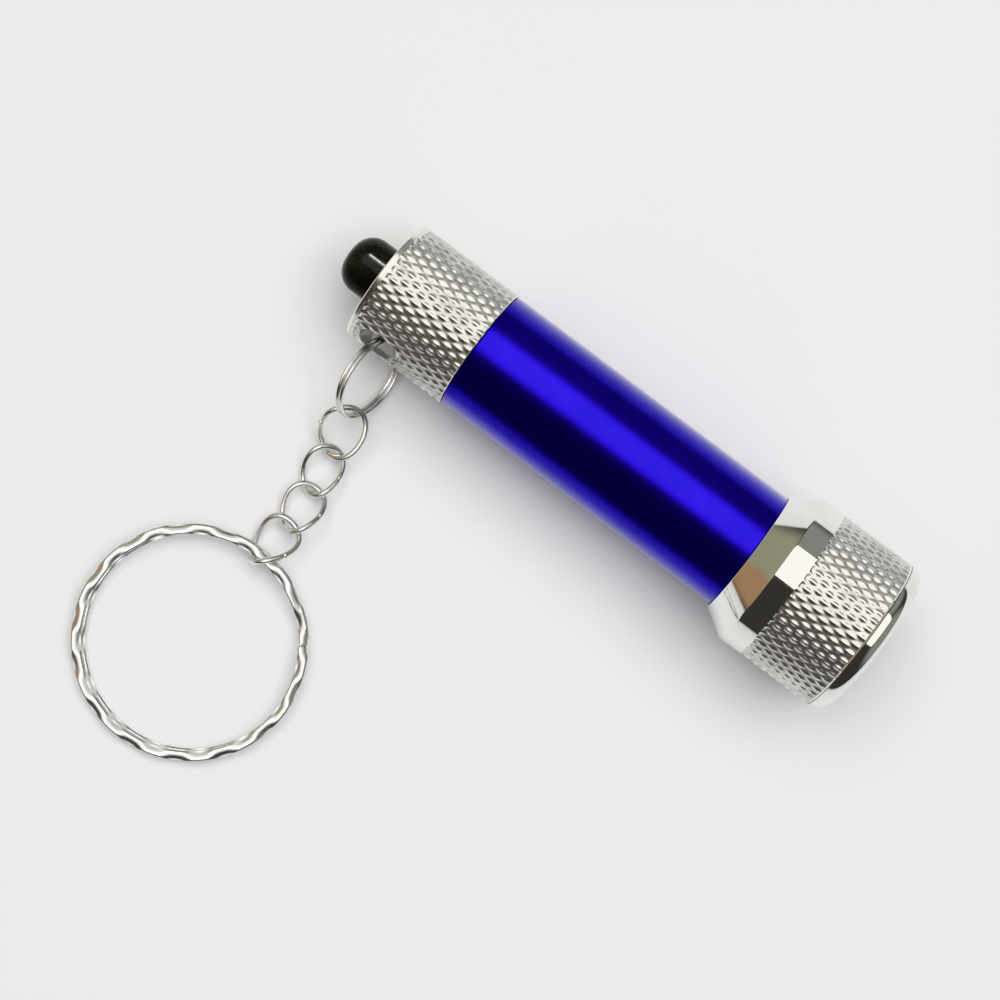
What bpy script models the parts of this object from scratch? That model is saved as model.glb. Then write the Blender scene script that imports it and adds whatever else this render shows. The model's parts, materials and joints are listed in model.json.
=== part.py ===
"""Keychain flashlight with a tail push-button, on a short chain and a split key ring.

Frame: the flashlight's axis runs along +X towards the lens, leaning up by the
angle at which it rests on its tail cap's rear edge and on the widest part of its
head. The chain runs off towards -Y and the floor is z = 0. The origin is below
the middle of the whole object's box, on the floor.

Along the flashlight, x = 0 is the tail cap's rear face. Lengths are in metres.
"""

from math import asin, atan2, ceil, copysign, cos, pi, radians, sin

import bmesh
import bpy
from mathutils import Matrix, Vector

MM = 0.001

# Overall sizes
CAP_LENGTH = 12.0 * MM
TUBE_SHOWING = 34.1 * MM
HEAD_CONE_LENGTH = 2.9 * MM
HEAD_BARREL_LENGTH = 11.0 * MM
BEZEL_LENGTH = 1.7 * MM
CELL_RADIUS = 5.8 * MM
CELL_HEIGHT = 5.4 * MM
CELL_COUNT = 4

# Clearances
FACE_GAP = 0.05 * MM
SLIDE_GAP = 0.10 * MM
BUTTON_GAP = 0.15 * MM
SLEEVE_GAP = 0.07 * MM
CELL_GAP = 0.08 * MM
INNER_FIT = 0.1 * MM

# Girths, each worked out from the cells
SLEEVE_WALL = 0.2 * MM
TUBE_BORE = CELL_RADIUS + CELL_GAP + SLEEVE_WALL + SLEEVE_GAP
TUBE_RADIUS = TUBE_BORE + 0.45 * MM
CAP_RADIUS = TUBE_RADIUS + 0.2 * MM
HEAD_RADIUS = TUBE_RADIUS + 2.2 * MM
HEAD_BORE = HEAD_RADIUS - 1.05 * MM
SPIGOT_RADIUS = TUBE_BORE - SLIDE_GAP
CAP_WALL_BORE = SPIGOT_RADIUS - 1.15 * MM

# Small ring and chain
SMALL_RING_RADIUS = 4.6 * MM
SMALL_RING_WIRE = 0.24 * MM
SMALL_RING_PITCH = 2 * SMALL_RING_WIRE + 0.08 * MM
SMALL_RING_TILT = radians(20)
SMALL_RING_SWING = radians(7)
SMALL_RING_DROP = 0.4 * MM
SMALL_RING_INNER = 0.2 * MM

LINK_WIRE = 0.33 * MM
LINK_GAP = 0.20 * MM
LINK_STEP = 2 * LINK_WIRE + LINK_GAP
LINK_HALF = LINK_WIRE + 2.37 * MM
FIRST_LINK_HALF = LINK_WIRE + 2.67 * MM
LAST_LINK_HALF = LINK_WIRE + 2.57 * MM
RING_TO_LINK = 0.36 * MM

KEY_RING_RADIUS = 12.5 * MM
KEY_RING_BAND = 1.1 * MM
KEY_RING_TURN = 0.6 * MM
KEY_RING_PITCH = KEY_RING_TURN + 0.1 * MM
LINK_TO_KEY_RING = 0.24 * MM
KEY_RING_DROP = 0.2 * MM

# Lanyard slot through the tail cap's flank
SLOT_CUTTER = 1.08 * MM
SLOT_STRETCH = 2.6 * MM
SLOT_WEB = 0.35 * MM
SLOT_ROLL = radians(12)

# Push button, which leaves 0.6 mm of flange inside the cap's wall
BUTTON_RADIUS = 3.1 * MM
BUTTON_PROUD = 4.7 * MM
BUTTON_DOME = 2.0 * MM
BUTTON_FLANGE_RADIUS = CAP_WALL_BORE - 0.6 * MM
BUTTON_FLANGE = 0.8 * MM
BUTTON_TRAVEL = 1.5 * MM

# Tail cap and the switch inside it
CAP_RIM = 0.9 * MM
SLOT_X = CAP_RIM + SLOT_STRETCH / 2 + SLOT_CUTTER + 0.62 * MM
CAP_BLOCK = SLOT_X + SLOT_STRETCH / 2 + SLOT_CUTTER + 0.67 * MM
GROOVE_DEPTH = 0.65 * MM
GROOVE_WIDTH = 0.9 * MM
GROOVE_FROM_SHOULDER = 0.35 * MM
TAIL_SEAL_WIRE = 0.28 * MM
HOUSING_WALL = 0.9 * MM
HOUSING_LENGTH = 5.5 * MM
HOUSING_REAR_WALL = 0.7 * MM
HOUSING_CAVITY = CAP_WALL_BORE - INNER_FIT - HOUSING_WALL
STEM_HEAD_RADIUS = HOUSING_CAVITY - 0.9 * MM
STEM_RADIUS = STEM_HEAD_RADIUS / 2
STEM_HEAD = 0.9 * MM
SWITCH_BOARD = 0.8 * MM
RETAINER = 0.9 * MM
RETAINER_RADIUS = CAP_WALL_BORE - 0.06 * MM
RETAINER_HOLE = RETAINER_RADIUS - 1.14 * MM
SWITCH_SPRING_RADIUS = STEM_HEAD_RADIUS - 0.8 * MM
SWITCH_SPRING_WIRE = 0.2 * MM

# Battery tube
TUBE_INTO_HEAD = 4.9 * MM
CELL_STEP = 0.35 * MM
TAIL_SPRING_LENGTH = 6.2 * MM
TAIL_SPRING_WIRE = 0.25 * MM
TAIL_SPRING_RADIUS = RETAINER_HOLE - TAIL_SPRING_WIRE - 0.45 * MM
TAIL_SPRING_TIP = TAIL_SPRING_RADIUS - 1.1 * MM
FRONT_SPRING_RADIUS = 2.6 * MM
FRONT_SPRING_TIP = 1.7 * MM
FRONT_SPRING_WIRE = 0.22 * MM
FRONT_SPRING_PITCH = 2.1 * MM

# Head
CONE_REAR_LIP = 0.3 * MM
HEAD_SEAL_GROOVE = 0.5 * MM
HEAD_SEAL_FROM_EDGE = 1.5 * MM
HEAD_SEAL_WIDTH = 0.8 * MM
HEAD_SEAL_WIRE = 0.23 * MM
BOARD_THICKNESS = 0.8 * MM
LED_COUNT = 5
LED_EDGE = 0.55 * MM
LED_SPACE = 0.09 * MM
LED_REACH = HEAD_BORE - INNER_FIT - LED_EDGE + LED_SPACE / 2
LED_CIRCLE = LED_REACH / (1 + sin(pi / LED_COUNT))
LED_FLANGE_RADIUS = LED_CIRCLE * sin(pi / LED_COUNT) - LED_SPACE / 2
LED_RADIUS = LED_FLANGE_RADIUS - 0.2 * MM
LED_FLANGE = 1.0 * MM
LED_LENGTH = 4.7 * MM
REFLECTOR_HOLE = LED_RADIUS + 0.12 * MM
REFLECTOR_LENGTH = 2.6 * MM
REFLECTOR_FLOOR = 1.0 * MM
LENS_THICKNESS = 1.2 * MM
BEZEL_OPENING = HEAD_BORE - 0.65 * MM
BEZEL_ROUND = 0.9 * MM
BEZEL_SPIGOT = 1.1 * MM
GASKET_WIRE = 0.22 * MM

# Facets
ROUND = 36
SMALL_ROUND = 16
WIRE_SIDES = 6

# Stations along the flashlight
HEAD_X = CAP_LENGTH + TUBE_SHOWING
HEAD_FULL_X = HEAD_X + HEAD_CONE_LENGTH
BEZEL_X = HEAD_FULL_X + HEAD_BARREL_LENGTH
FRONT_X = BEZEL_X + BEZEL_LENGTH
TUBE_FRONT_X = HEAD_X + TUBE_INTO_HEAD
HOUSING_X = CAP_BLOCK + FACE_GAP + BUTTON_FLANGE + BUTTON_TRAVEL + SLIDE_GAP
SWITCH_BOARD_X = HOUSING_X + HOUSING_LENGTH + FACE_GAP
RETAINER_X = SWITCH_BOARD_X + SWITCH_BOARD + FACE_GAP
SPIGOT_X = RETAINER_X + RETAINER + 0.9 * MM
CELLS_X = SWITCH_BOARD_X + SWITCH_BOARD + FACE_GAP + TAIL_SPRING_LENGTH + FACE_GAP
CELL_PITCH = CELL_HEIGHT + FACE_GAP
BOARD_X = TUBE_FRONT_X + 0.4 * MM
LED_X = BOARD_X + BOARD_THICKNESS + FACE_GAP
LENS_X = LED_X + LED_LENGTH + 0.2 * MM
REFLECTOR_X = LENS_X - FACE_GAP - REFLECTOR_LENGTH
GASKET_X = LENS_X + LENS_THICKNESS + FACE_GAP + GASKET_WIRE

LEAN = atan2(HEAD_RADIUS - CAP_RADIUS, HEAD_FULL_X - CAP_RIM)
SLOT_Y = CAP_RADIUS - SLOT_WEB - SLOT_CUTTER

# Colour, metallic value and roughness of each finish
FINISHES = {
    "anodised_blue": ((0.035, 0.0, 0.60), 0.9, 0.28),
    "chrome": ((0.80, 0.80, 0.79), 1.0, 0.10),
    "knurled_chrome": ((0.72, 0.72, 0.70), 1.0, 0.22),
    "ring_steel": ((0.70, 0.70, 0.70), 1.0, 0.16),
    "chain_steel": ((0.72, 0.72, 0.71), 1.0, 0.18),
    "black_plastic": ((0.012, 0.012, 0.012), 0.0, 0.18),
    "black_rubber": ((0.02, 0.02, 0.02), 0.0, 0.7),
    "clear_lens": ((0.92, 0.95, 0.97), 0.0, 0.04),
    "led_epoxy": ((0.90, 0.93, 0.96), 0.0, 0.08),
    "bright_reflector": ((0.85, 0.85, 0.86), 1.0, 0.08),
    "board_green": ((0.03, 0.22, 0.09), 0.0, 0.4),
    "resistor_black": ((0.03, 0.03, 0.035), 0.0, 0.4),
    "cell_steel": ((0.66, 0.66, 0.64), 1.0, 0.3),
    "white_film": ((0.85, 0.85, 0.83), 0.0, 0.5),
    "spring_brass": ((0.78, 0.62, 0.34), 1.0, 0.25),
    "switch_grey": ((0.30, 0.31, 0.32), 0.0, 0.5),
}


def clear_scene():
    """Remove every object that the file holds."""
    for item in list(bpy.data.objects):
        bpy.data.objects.remove(item, do_unlink=True)


def finish(name):
    """Return the named finish as a material, made once."""
    found = bpy.data.materials.get(name)
    if found:
        return found
    colour, metallic, roughness = FINISHES[name]
    material = bpy.data.materials.new(name)
    material.use_nodes = True
    shader = material.node_tree.nodes["Principled BSDF"]
    shader.inputs["Base Color"].default_value = (*colour, 1.0)
    shader.inputs["Metallic"].default_value = metallic
    shader.inputs["Roughness"].default_value = roughness
    material.diffuse_color = (*colour, 1.0)
    return material


def empty(name, parent, matrix):
    """Add an empty that sits at matrix in its parent's frame."""
    item = bpy.data.objects.new(name, None)
    bpy.context.collection.objects.link(item)
    item.empty_display_size = 2 * MM
    item.parent = parent
    item.matrix_local = matrix
    return item


def add_object(name, mesh, material, parent, location=(0, 0, 0)):
    """Add a mesh object under parent, smooth where its faces turn gently."""
    mesh.shade_smooth()
    mesh.set_sharp_from_angle(angle=radians(35))
    mesh.materials.append(finish(material))
    item = bpy.data.objects.new(name, mesh)
    bpy.context.collection.objects.link(item)
    item.parent = parent
    item.location = location
    return item


def mesh_from(name, bm):
    """Turn a bmesh into a mesh with welded points and outward faces."""
    bmesh.ops.remove_doubles(bm, verts=bm.verts, dist=0.001 * MM)
    bmesh.ops.recalc_face_normals(bm, faces=bm.faces)
    mesh = bpy.data.meshes.new(name)
    bm.to_mesh(mesh)
    bm.free()
    return mesh


def turned(name, outline, steps=ROUND):
    """Spin an outline of (x, radius) points round the X axis.

    An outline that starts and ends on the axis makes a solid piece. Any other
    outline is closed, and makes a ring.
    """
    bm = bmesh.new()
    points = [bm.verts.new((x, 0, radius)) for x, radius in outline]
    edges = [bm.edges.new(pair) for pair in zip(points, points[1:])]
    if outline[0][1] > 0 or outline[-1][1] > 0:
        edges.append(bm.edges.new((points[-1], points[0])))
    bmesh.ops.spin(bm, geom=points + edges, axis=(1, 0, 0), cent=(0, 0, 0),
                   angle=2 * pi, steps=steps, use_merge=True)
    return mesh_from(name, bm)


def arc(x, radius, size, start, end, steps):
    """List points on an arc about (x, radius), from start to end in degrees."""
    angles = (radians(start + (end - start) * i / steps) for i in range(steps + 1))
    return [(x + size * cos(a), radius + size * sin(a)) for a in angles]


def box_outline(x0, x1, inner, outer):
    """List the corners of a plain ring's section."""
    return [(x0, inner), (x0, outer), (x1, outer), (x1, inner)]


def swept(name, path, section, closed):
    """Carry a section along a path of (point, side, up) frames.

    The section's (u, v) points are placed at point + u * side + v * up.
    """
    bm = bmesh.new()
    loops = []
    for point, side, up in path:
        loops.append([bm.verts.new(point + side * u + up * v) for u, v in section])
    count = len(section)
    pairs = list(zip(loops, loops[1:]))
    if closed:
        pairs.append((loops[-1], loops[0]))
    for near, far in pairs:
        for i in range(count):
            j = (i + 1) % count
            bm.faces.new((near[i], near[j], far[j], far[i]))
    if not closed:
        bm.faces.new(loops[0])
        bm.faces.new(list(reversed(loops[-1])))
    return mesh_from(name, bm)


def wire_section(radius, sides=WIRE_SIDES):
    """List a round wire's section."""
    angles = (2 * pi * i / sides for i in range(sides))
    return [(radius * cos(a), radius * sin(a)) for a in angles]


def torus(name, x, radius, wire):
    """Make an O-ring about the X axis."""
    axis = Vector((1, 0, 0))
    path = []
    for i in range(ROUND):
        angle = 2 * pi * i / ROUND
        out = Vector((0, sin(angle), cos(angle)))
        path.append((axis * x + out * radius, out, axis))
    return swept(name, path, wire_section(wire), closed=True)


def coil_spring(name, x0, x1, base, tip, wire, turns, steps=12):
    """Make a compression spring about the X axis, from base to tip radius."""
    axis = Vector((1, 0, 0))
    total = ceil(turns * steps)
    inset = copysign(wire, x1 - x0)
    path = []
    for i in range(total + 1):
        share = i / total
        angle = 2 * pi * turns * share
        out = Vector((0, sin(angle), cos(angle)))
        x = x0 + inset + (x1 - x0 - 2 * inset) * share
        path.append((axis * x + out * (base + (tip - base) * share), out, axis))
    return swept(name, path, wire_section(wire), closed=False)


def split_ring(name, radius, pitch, section, steps, start, ramp):
    """Make a split ring: a flat coil of two turns about the Z axis.

    The first turn lies pitch / 2 below the middle and the second pitch / 2 above
    it. The wire climbs between them along a cosine over the angle ramp, and ends
    just short of that ramp.
    """
    spare = ramp * 0.15
    length = 4 * pi - ramp - spare
    total = round(length / (2 * pi) * steps)
    path = []
    for i in range(total + 1):
        angle = length * i / total
        climb = min(max((angle - 2 * pi + ramp) / ramp, 0), 1)
        height = pitch * ((1 - cos(pi * climb)) / 2 - 0.5)
        out = Vector((cos(start + angle), sin(start + angle), 0))
        path.append((out * radius + Vector((0, 0, height)), out, Vector((0, 0, 1))))
    return swept(name, path, section, closed=False)


def chain_link(name, half, half_width, twist, steps=24):
    """Make a twisted oval link along X: (half cos t, half_width sin t, twist sin 2t)."""
    path = []
    for i in range(steps):
        t = 2 * pi * i / steps
        point = Vector((half * cos(t), half_width * sin(t), twist * sin(2 * t)))
        along = Vector((-half * sin(t), half_width * cos(t), 2 * twist * cos(2 * t))).normalized()
        side = Vector((0, 0, 1)).cross(along).normalized()
        path.append((point, side, along.cross(side)))
    return swept(name, path, wire_section(LINK_WIRE), closed=True)


def cut(target, cutter):
    """Cut one object's shape out of another and hide the cutter."""
    cutter.hide_render = True
    cutter.display_type = "WIRE"
    modifier = target.modifiers.new("cut_" + cutter.name, "BOOLEAN")
    modifier.operation = "DIFFERENCE"
    modifier.solver = "EXACT"
    modifier.object = cutter


def slot_cutter(parent):
    """Make the rounded bar that mills the lanyard slot, along the parent's Z."""
    bm = bmesh.new()
    half = SLOT_STRETCH / 2
    rim = []
    for side, turn in ((1, -90), (-1, 90)):
        for i in range(9):
            a = radians(turn + 180 * i / 8)
            rim.append(bm.verts.new((side * half + SLOT_CUTTER * cos(a),
                                     SLOT_CUTTER * sin(a), -CAP_RADIUS)))
    face = bm.faces.new(rim)
    grown = bmesh.ops.extrude_face_region(bm, geom=[face])
    moved = [g for g in grown["geom"] if isinstance(g, bmesh.types.BMVert)]
    bmesh.ops.translate(bm, verts=moved, vec=(0, 0, 2 * CAP_RADIUS))
    mesh = mesh_from("slot_cutter", bm)
    return add_object("slot_cutter", mesh, "chrome", parent, (0, -SLOT_Y, 0))


def build_tube(torch):
    """Battery tube, insulating sleeve and the four button cells."""
    rear = CAP_LENGTH + FACE_GAP
    tube = box_outline(rear, TUBE_FRONT_X, TUBE_BORE, TUBE_RADIUS)
    add_object("body_tube", turned("body_tube", tube), "anodised_blue", torch)
    sleeve_outer = TUBE_BORE - SLEEVE_GAP
    sleeve = box_outline(SPIGOT_X + SLIDE_GAP, TUBE_FRONT_X - FACE_GAP,
                         sleeve_outer - SLEEVE_WALL, sleeve_outer)
    add_object("battery_sleeve", turned("battery_sleeve", sleeve), "white_film", torch)
    step = CELL_STEP
    cell = [(0, 0), (0, CELL_RADIUS - 2 * step), (step, CELL_RADIUS - 2 * step),
            (step, CELL_RADIUS), (CELL_HEIGHT - step / 2, CELL_RADIUS),
            (CELL_HEIGHT, CELL_RADIUS - step / 2), (CELL_HEIGHT, 0)]
    mesh = turned("cell", cell, steps=24)
    for i in range(CELL_COUNT):
        add_object(f"cell_{i + 1}", mesh.copy(), "cell_steel", torch,
                   (CELLS_X + i * CELL_PITCH, 0, 0))


def build_tail_cap(cap, slot):
    """Tail cap with its screw spigot, O-ring and the switch held inside it."""
    bore = BUTTON_RADIUS + BUTTON_GAP
    groove = CAP_LENGTH + GROOVE_FROM_SHOULDER
    rim = CAP_RADIUS - CAP_RIM
    outline = [(0, bore), *arc(CAP_RIM, rim, CAP_RIM, 180, 90, 4),
               (CAP_LENGTH, CAP_RADIUS), (CAP_LENGTH, SPIGOT_RADIUS),
               (groove, SPIGOT_RADIUS), (groove, SPIGOT_RADIUS - GROOVE_DEPTH),
               (groove + GROOVE_WIDTH, SPIGOT_RADIUS - GROOVE_DEPTH),
               (groove + GROOVE_WIDTH, SPIGOT_RADIUS), (SPIGOT_X, SPIGOT_RADIUS),
               (SPIGOT_X, CAP_WALL_BORE), (CAP_BLOCK, CAP_WALL_BORE), (CAP_BLOCK, bore)]
    tail_cap = add_object("tail_cap", turned("tail_cap", outline), "knurled_chrome", cap)
    cut(tail_cap, slot_cutter(slot))

    housing_radius = CAP_WALL_BORE - INNER_FIT
    stem_hole = STEM_RADIUS + BUTTON_GAP
    wall = HOUSING_X + HOUSING_REAR_WALL
    housing = [(HOUSING_X, stem_hole), (HOUSING_X, housing_radius),
               (HOUSING_X + HOUSING_LENGTH, housing_radius),
               (HOUSING_X + HOUSING_LENGTH, HOUSING_CAVITY), (wall, HOUSING_CAVITY), (wall, stem_hole)]
    add_object("switch_housing", turned("switch_housing", housing, 32), "switch_grey", cap)
    board = [(SWITCH_BOARD_X, 0), (SWITCH_BOARD_X, housing_radius),
             (SWITCH_BOARD_X + SWITCH_BOARD, housing_radius), (SWITCH_BOARD_X + SWITCH_BOARD, 0)]
    add_object("switch_board", turned("switch_board", board, 32), "board_green", cap)
    retainer = box_outline(RETAINER_X, RETAINER_X + RETAINER, RETAINER_HOLE, RETAINER_RADIUS)
    add_object("retaining_ring", turned("retaining_ring", retainer, 32), "spring_brass", cap)
    spring = coil_spring("contact_spring", RETAINER_X, CELLS_X - FACE_GAP,
                         TAIL_SPRING_RADIUS, TAIL_SPRING_TIP, TAIL_SPRING_WIRE, 4)
    add_object("contact_spring", spring, "spring_brass", cap)


def build_tail_seal(seal):
    """O-ring in the groove at the foot of the tail cap's spigot."""
    x = CAP_LENGTH + GROOVE_FROM_SHOULDER + GROOVE_WIDTH / 2
    radius = SPIGOT_RADIUS - GROOVE_DEPTH + SLIDE_GAP / 2 + TAIL_SEAL_WIRE
    add_object("tail_o_ring", torus("tail_o_ring", x, radius, TAIL_SEAL_WIRE),
               "black_rubber", seal)


def build_button(button):
    """Push button, the stem it presses and the spring that returns them."""
    flange = CAP_BLOCK + FACE_GAP
    dome = BUTTON_RADIUS - BUTTON_DOME
    outline = [(-BUTTON_PROUD, 0), *arc(BUTTON_DOME - BUTTON_PROUD, dome, BUTTON_DOME, 180, 90, 5),
               (flange, BUTTON_RADIUS), (flange, BUTTON_FLANGE_RADIUS),
               (flange + BUTTON_FLANGE, BUTTON_FLANGE_RADIUS), (flange + BUTTON_FLANGE, 0)]
    add_object("push_button", turned("push_button", outline), "black_plastic", button)

    start = flange + BUTTON_FLANGE + FACE_GAP
    head = HOUSING_X + HOUSING_REAR_WALL + FACE_GAP
    stem = [(start, 0), (start, STEM_RADIUS), (head, STEM_RADIUS), (head, STEM_HEAD_RADIUS),
            (head + STEM_HEAD, STEM_HEAD_RADIUS), (head + STEM_HEAD, 0)]
    add_object("switch_stem", turned("switch_stem", stem, SMALL_ROUND), "switch_grey", button)
    spring = coil_spring("switch_spring", head + STEM_HEAD + FACE_GAP,
                         SWITCH_BOARD_X - FACE_GAP, SWITCH_SPRING_RADIUS,
                         SWITCH_SPRING_RADIUS, SWITCH_SPRING_WIRE, 3)
    add_object("switch_spring", spring, "spring_brass", button)


def build_head(head):
    """Head shell, bezel ring, lens, reflector, LEDs and their board."""
    skirt = TUBE_RADIUS + SLIDE_GAP
    seal = HEAD_X + HEAD_SEAL_FROM_EDGE
    seat = BOARD_X - FACE_GAP
    outline = [(HEAD_X, skirt), (HEAD_X, TUBE_RADIUS + CONE_REAR_LIP),
               (HEAD_FULL_X, HEAD_RADIUS), (BEZEL_X, HEAD_RADIUS), (BEZEL_X, HEAD_BORE),
               (seat, HEAD_BORE), (seat, skirt), (seal + HEAD_SEAL_WIDTH, skirt),
               (seal + HEAD_SEAL_WIDTH, skirt + HEAD_SEAL_GROOVE),
               (seal, skirt + HEAD_SEAL_GROOVE), (seal, skirt)]
    add_object("head_shell", turned("head_shell", outline), "chrome", head)

    fit = HEAD_BORE - INNER_FIT
    start = BEZEL_X + FACE_GAP
    bezel = [(start, HEAD_RADIUS),
             *arc(FRONT_X - BEZEL_ROUND, HEAD_RADIUS - BEZEL_ROUND, BEZEL_ROUND, 90, 0, 4),
             (FRONT_X, BEZEL_OPENING), (start - BEZEL_SPIGOT, BEZEL_OPENING),
             (start - BEZEL_SPIGOT, fit), (start, fit)]
    add_object("bezel_ring", turned("bezel_ring", bezel), "chrome", head)

    gasket_radius = (BEZEL_OPENING + fit) / 2
    add_object("lens_gasket", torus("lens_gasket", GASKET_X, gasket_radius, GASKET_WIRE),
               "black_rubber", head)
    lens = [(LENS_X, 0), (LENS_X, fit), (LENS_X + LENS_THICKNESS, fit),
            (LENS_X + LENS_THICKNESS, 0)]
    add_object("lens", turned("lens", lens), "clear_lens", head)
    board = [(BOARD_X, 0), (BOARD_X, fit), (BOARD_X + BOARD_THICKNESS, fit),
             (BOARD_X + BOARD_THICKNESS, 0)]
    add_object("led_board", turned("led_board", board), "board_green", head)
    build_leds(head, fit)

    resistor = bmesh.new()
    bmesh.ops.create_cube(resistor, size=1.0)
    bmesh.ops.scale(resistor, verts=resistor.verts, vec=(0.6 * MM, 2.0 * MM, 1.25 * MM))
    add_object("board_resistor", mesh_from("board_resistor", resistor), "resistor_black",
               head, (LED_X + 0.3 * MM, 0, 0))
    cells_end = CELLS_X + CELL_COUNT * CELL_PITCH
    board = BOARD_X - FACE_GAP
    spring = coil_spring("front_spring", board, cells_end, FRONT_SPRING_RADIUS, FRONT_SPRING_TIP,
                         FRONT_SPRING_WIRE, (board - cells_end) / FRONT_SPRING_PITCH)
    add_object("front_spring", spring, "spring_brass", head)


def build_leds(head, fit):
    """Five LEDs on a circle, in the holes of one reflector plate."""
    shoulder = LED_LENGTH - LED_RADIUS
    outline = [(0, 0), (0, LED_FLANGE_RADIUS), (LED_FLANGE, LED_FLANGE_RADIUS),
               (LED_FLANGE, LED_RADIUS), *arc(shoulder, 0, LED_RADIUS, 90, 0, 3)]
    outline[-1] = (LED_LENGTH, 0)
    mesh = turned("led", outline, SMALL_ROUND)

    rim = REFLECTOR_X + REFLECTOR_LENGTH
    plate = [(REFLECTOR_X, 0), (REFLECTOR_X, fit), (rim, fit), (rim, fit - 0.35 * MM),
             (REFLECTOR_X + REFLECTOR_FLOOR, fit - 0.6 * MM), (REFLECTOR_X + REFLECTOR_FLOOR, 0)]
    reflector = add_object("reflector", turned("reflector", plate), "bright_reflector", head)
    hole = turned("led_hole", [(-MM, 0), (-MM, REFLECTOR_HOLE), (REFLECTOR_LENGTH, REFLECTOR_HOLE),
                               (REFLECTOR_LENGTH, 0)], SMALL_ROUND)
    for i in range(LED_COUNT):
        angle = 2 * pi * i / LED_COUNT
        y, z = LED_CIRCLE * sin(angle), LED_CIRCLE * cos(angle)
        add_object(f"led_{i + 1}", mesh.copy(), "led_epoxy", head, (LED_X, y, z))
        cutter = add_object(f"led_hole_{i + 1}", hole.copy(), "chrome", head,
                            (REFLECTOR_X, y, z))
        cut(reflector, cutter)


def build_head_seal(seal):
    """O-ring in the groove inside the head's skirt."""
    x = HEAD_X + HEAD_SEAL_FROM_EDGE + HEAD_SEAL_WIDTH / 2
    radius = TUBE_RADIUS + SLIDE_GAP / 2 + HEAD_SEAL_WIRE + FACE_GAP
    add_object("head_o_ring", torus("head_o_ring", x, radius, HEAD_SEAL_WIRE),
               "black_rubber", seal)


def along(yaw, pitch, roll):
    """Return the turn of a piece that runs along its X, level and to -Y at zero."""
    heading = Matrix.Rotation(yaw - pi / 2, 4, "Z")
    return heading @ Matrix.Rotation(pitch, 4, "Y") @ Matrix.Rotation(roll, 4, "X")


def build_chain(root, slot, slot_matrix):
    """Small ring in the slot, four links, and the key ring that lies on the floor.

    Each piece hangs from an empty at the spot where it touches the one before it.
    """
    inner_edge = SLOT_Y - SLOT_CUTTER + SMALL_RING_INNER + SMALL_RING_WIRE
    offset = inner_edge + SMALL_RING_RADIUS
    at_web = Matrix.Translation((0, -SLOT_Y, 0)) @ Matrix.Rotation(SMALL_RING_SWING, 4, "Z")
    swing = empty("small_ring_swing", slot, at_web)
    section = wire_section(SMALL_RING_WIRE)
    mesh = split_ring("small_ring", SMALL_RING_RADIUS, SMALL_RING_PITCH, section,
                      26, radians(100), radians(35))
    ring = add_object("small_ring", mesh, "chain_steel", swing,
                      (0, SLOT_Y - offset, -SMALL_RING_DROP))
    # The coil is made about Z: its own Z becomes the slot's X, tipped by the tilt.
    ring.rotation_euler = (Matrix.Rotation(-SMALL_RING_TILT, 3, "Y")
                           @ Matrix.Rotation(pi / 2, 3, "Y")).to_euler()

    swung = slot_matrix @ at_web
    far = swung @ Vector((0, SLOT_Y - offset - SMALL_RING_RADIUS, -SMALL_RING_DROP))
    inward = (swung.to_3x3() @ Vector((0, 1, 0))).normalized()
    contact = far
    end = far + inward * (SMALL_RING_WIRE + LINK_WIRE + RING_TO_LINK)
    # yaw, pitch, roll, half length, half the opening's width, twist in wires, and step
    # from the link before
    pose = (
        (8, 27, 0, FIRST_LINK_HALF, 2.02 * MM, 1.8, 0.0),
        (10, 5, 8, LINK_HALF, 1.67 * MM, 2.0, LINK_STEP),
        (9, -9, 21, LINK_HALF, 1.87 * MM, 2.0, LINK_STEP),
        (-12, -2.5, 34, LAST_LINK_HALF, 2.02 * MM, 2.6, LINK_STEP + 0.04 * MM),
    )
    parent, matrix = swing, swung
    for i, (yaw, pitch, roll, half, opening, twist, step) in enumerate(pose):
        turn = along(radians(yaw), radians(pitch), radians(roll))
        direction = turn.to_3x3() @ Vector((1, 0, 0))
        if i:
            contact = end - before * step / 2
            end = end - before * step
        pivot = Matrix.Translation(contact)
        joint = empty(f"link_{i + 1}_swing", parent, matrix.inverted() @ pivot)
        centre = end + direction * half
        mesh = chain_link(f"link_{i + 1}", half, opening + LINK_WIRE, twist * LINK_WIRE)
        link = add_object(f"link_{i + 1}", mesh, "chain_steel", joint)
        link.matrix_local = pivot.inverted() @ Matrix.Translation(centre) @ turn
        parent, matrix = joint, pivot
        end, before = centre + direction * half, direction

    section = band_section(KEY_RING_BAND, KEY_RING_TURN)
    middle = KEY_RING_RADIUS - KEY_RING_BAND / 2
    mesh = split_ring("key_ring", middle, KEY_RING_PITCH, section, 40, radians(66), radians(26))
    thickness = KEY_RING_PITCH + KEY_RING_TURN
    inner = end.y + LINK_WIRE + LINK_TO_KEY_RING
    rise = end.z - KEY_RING_DROP - thickness / 2
    tilt = asin(rise / (2 * KEY_RING_RADIUS - KEY_RING_BAND / 2))
    y = inner - (KEY_RING_RADIUS - KEY_RING_BAND) * cos(tilt)
    z = thickness / 2 * cos(tilt) + KEY_RING_RADIUS * sin(tilt)
    pivot = Matrix.Translation((end.x, inner - LINK_TO_KEY_RING / 2, end.z))
    joint = empty("key_ring_swing", parent, matrix.inverted() @ pivot)
    ring = add_object("key_ring", mesh, "ring_steel", joint)
    ring.matrix_local = (pivot.inverted() @ Matrix.Translation((end.x, y, z))
                         @ Matrix.Rotation(tilt, 4, "X"))


def band_section(width, height):
    """List a flat band's section with its corners cut off."""
    u, v, corner = width / 2, height / 2, height * 0.28
    return [(u, -v + corner), (u, v - corner), (u - corner, v), (-u + corner, v),
            (-u, v - corner), (-u, -v + corner), (-u + corner, -v), (u - corner, -v)]


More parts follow.
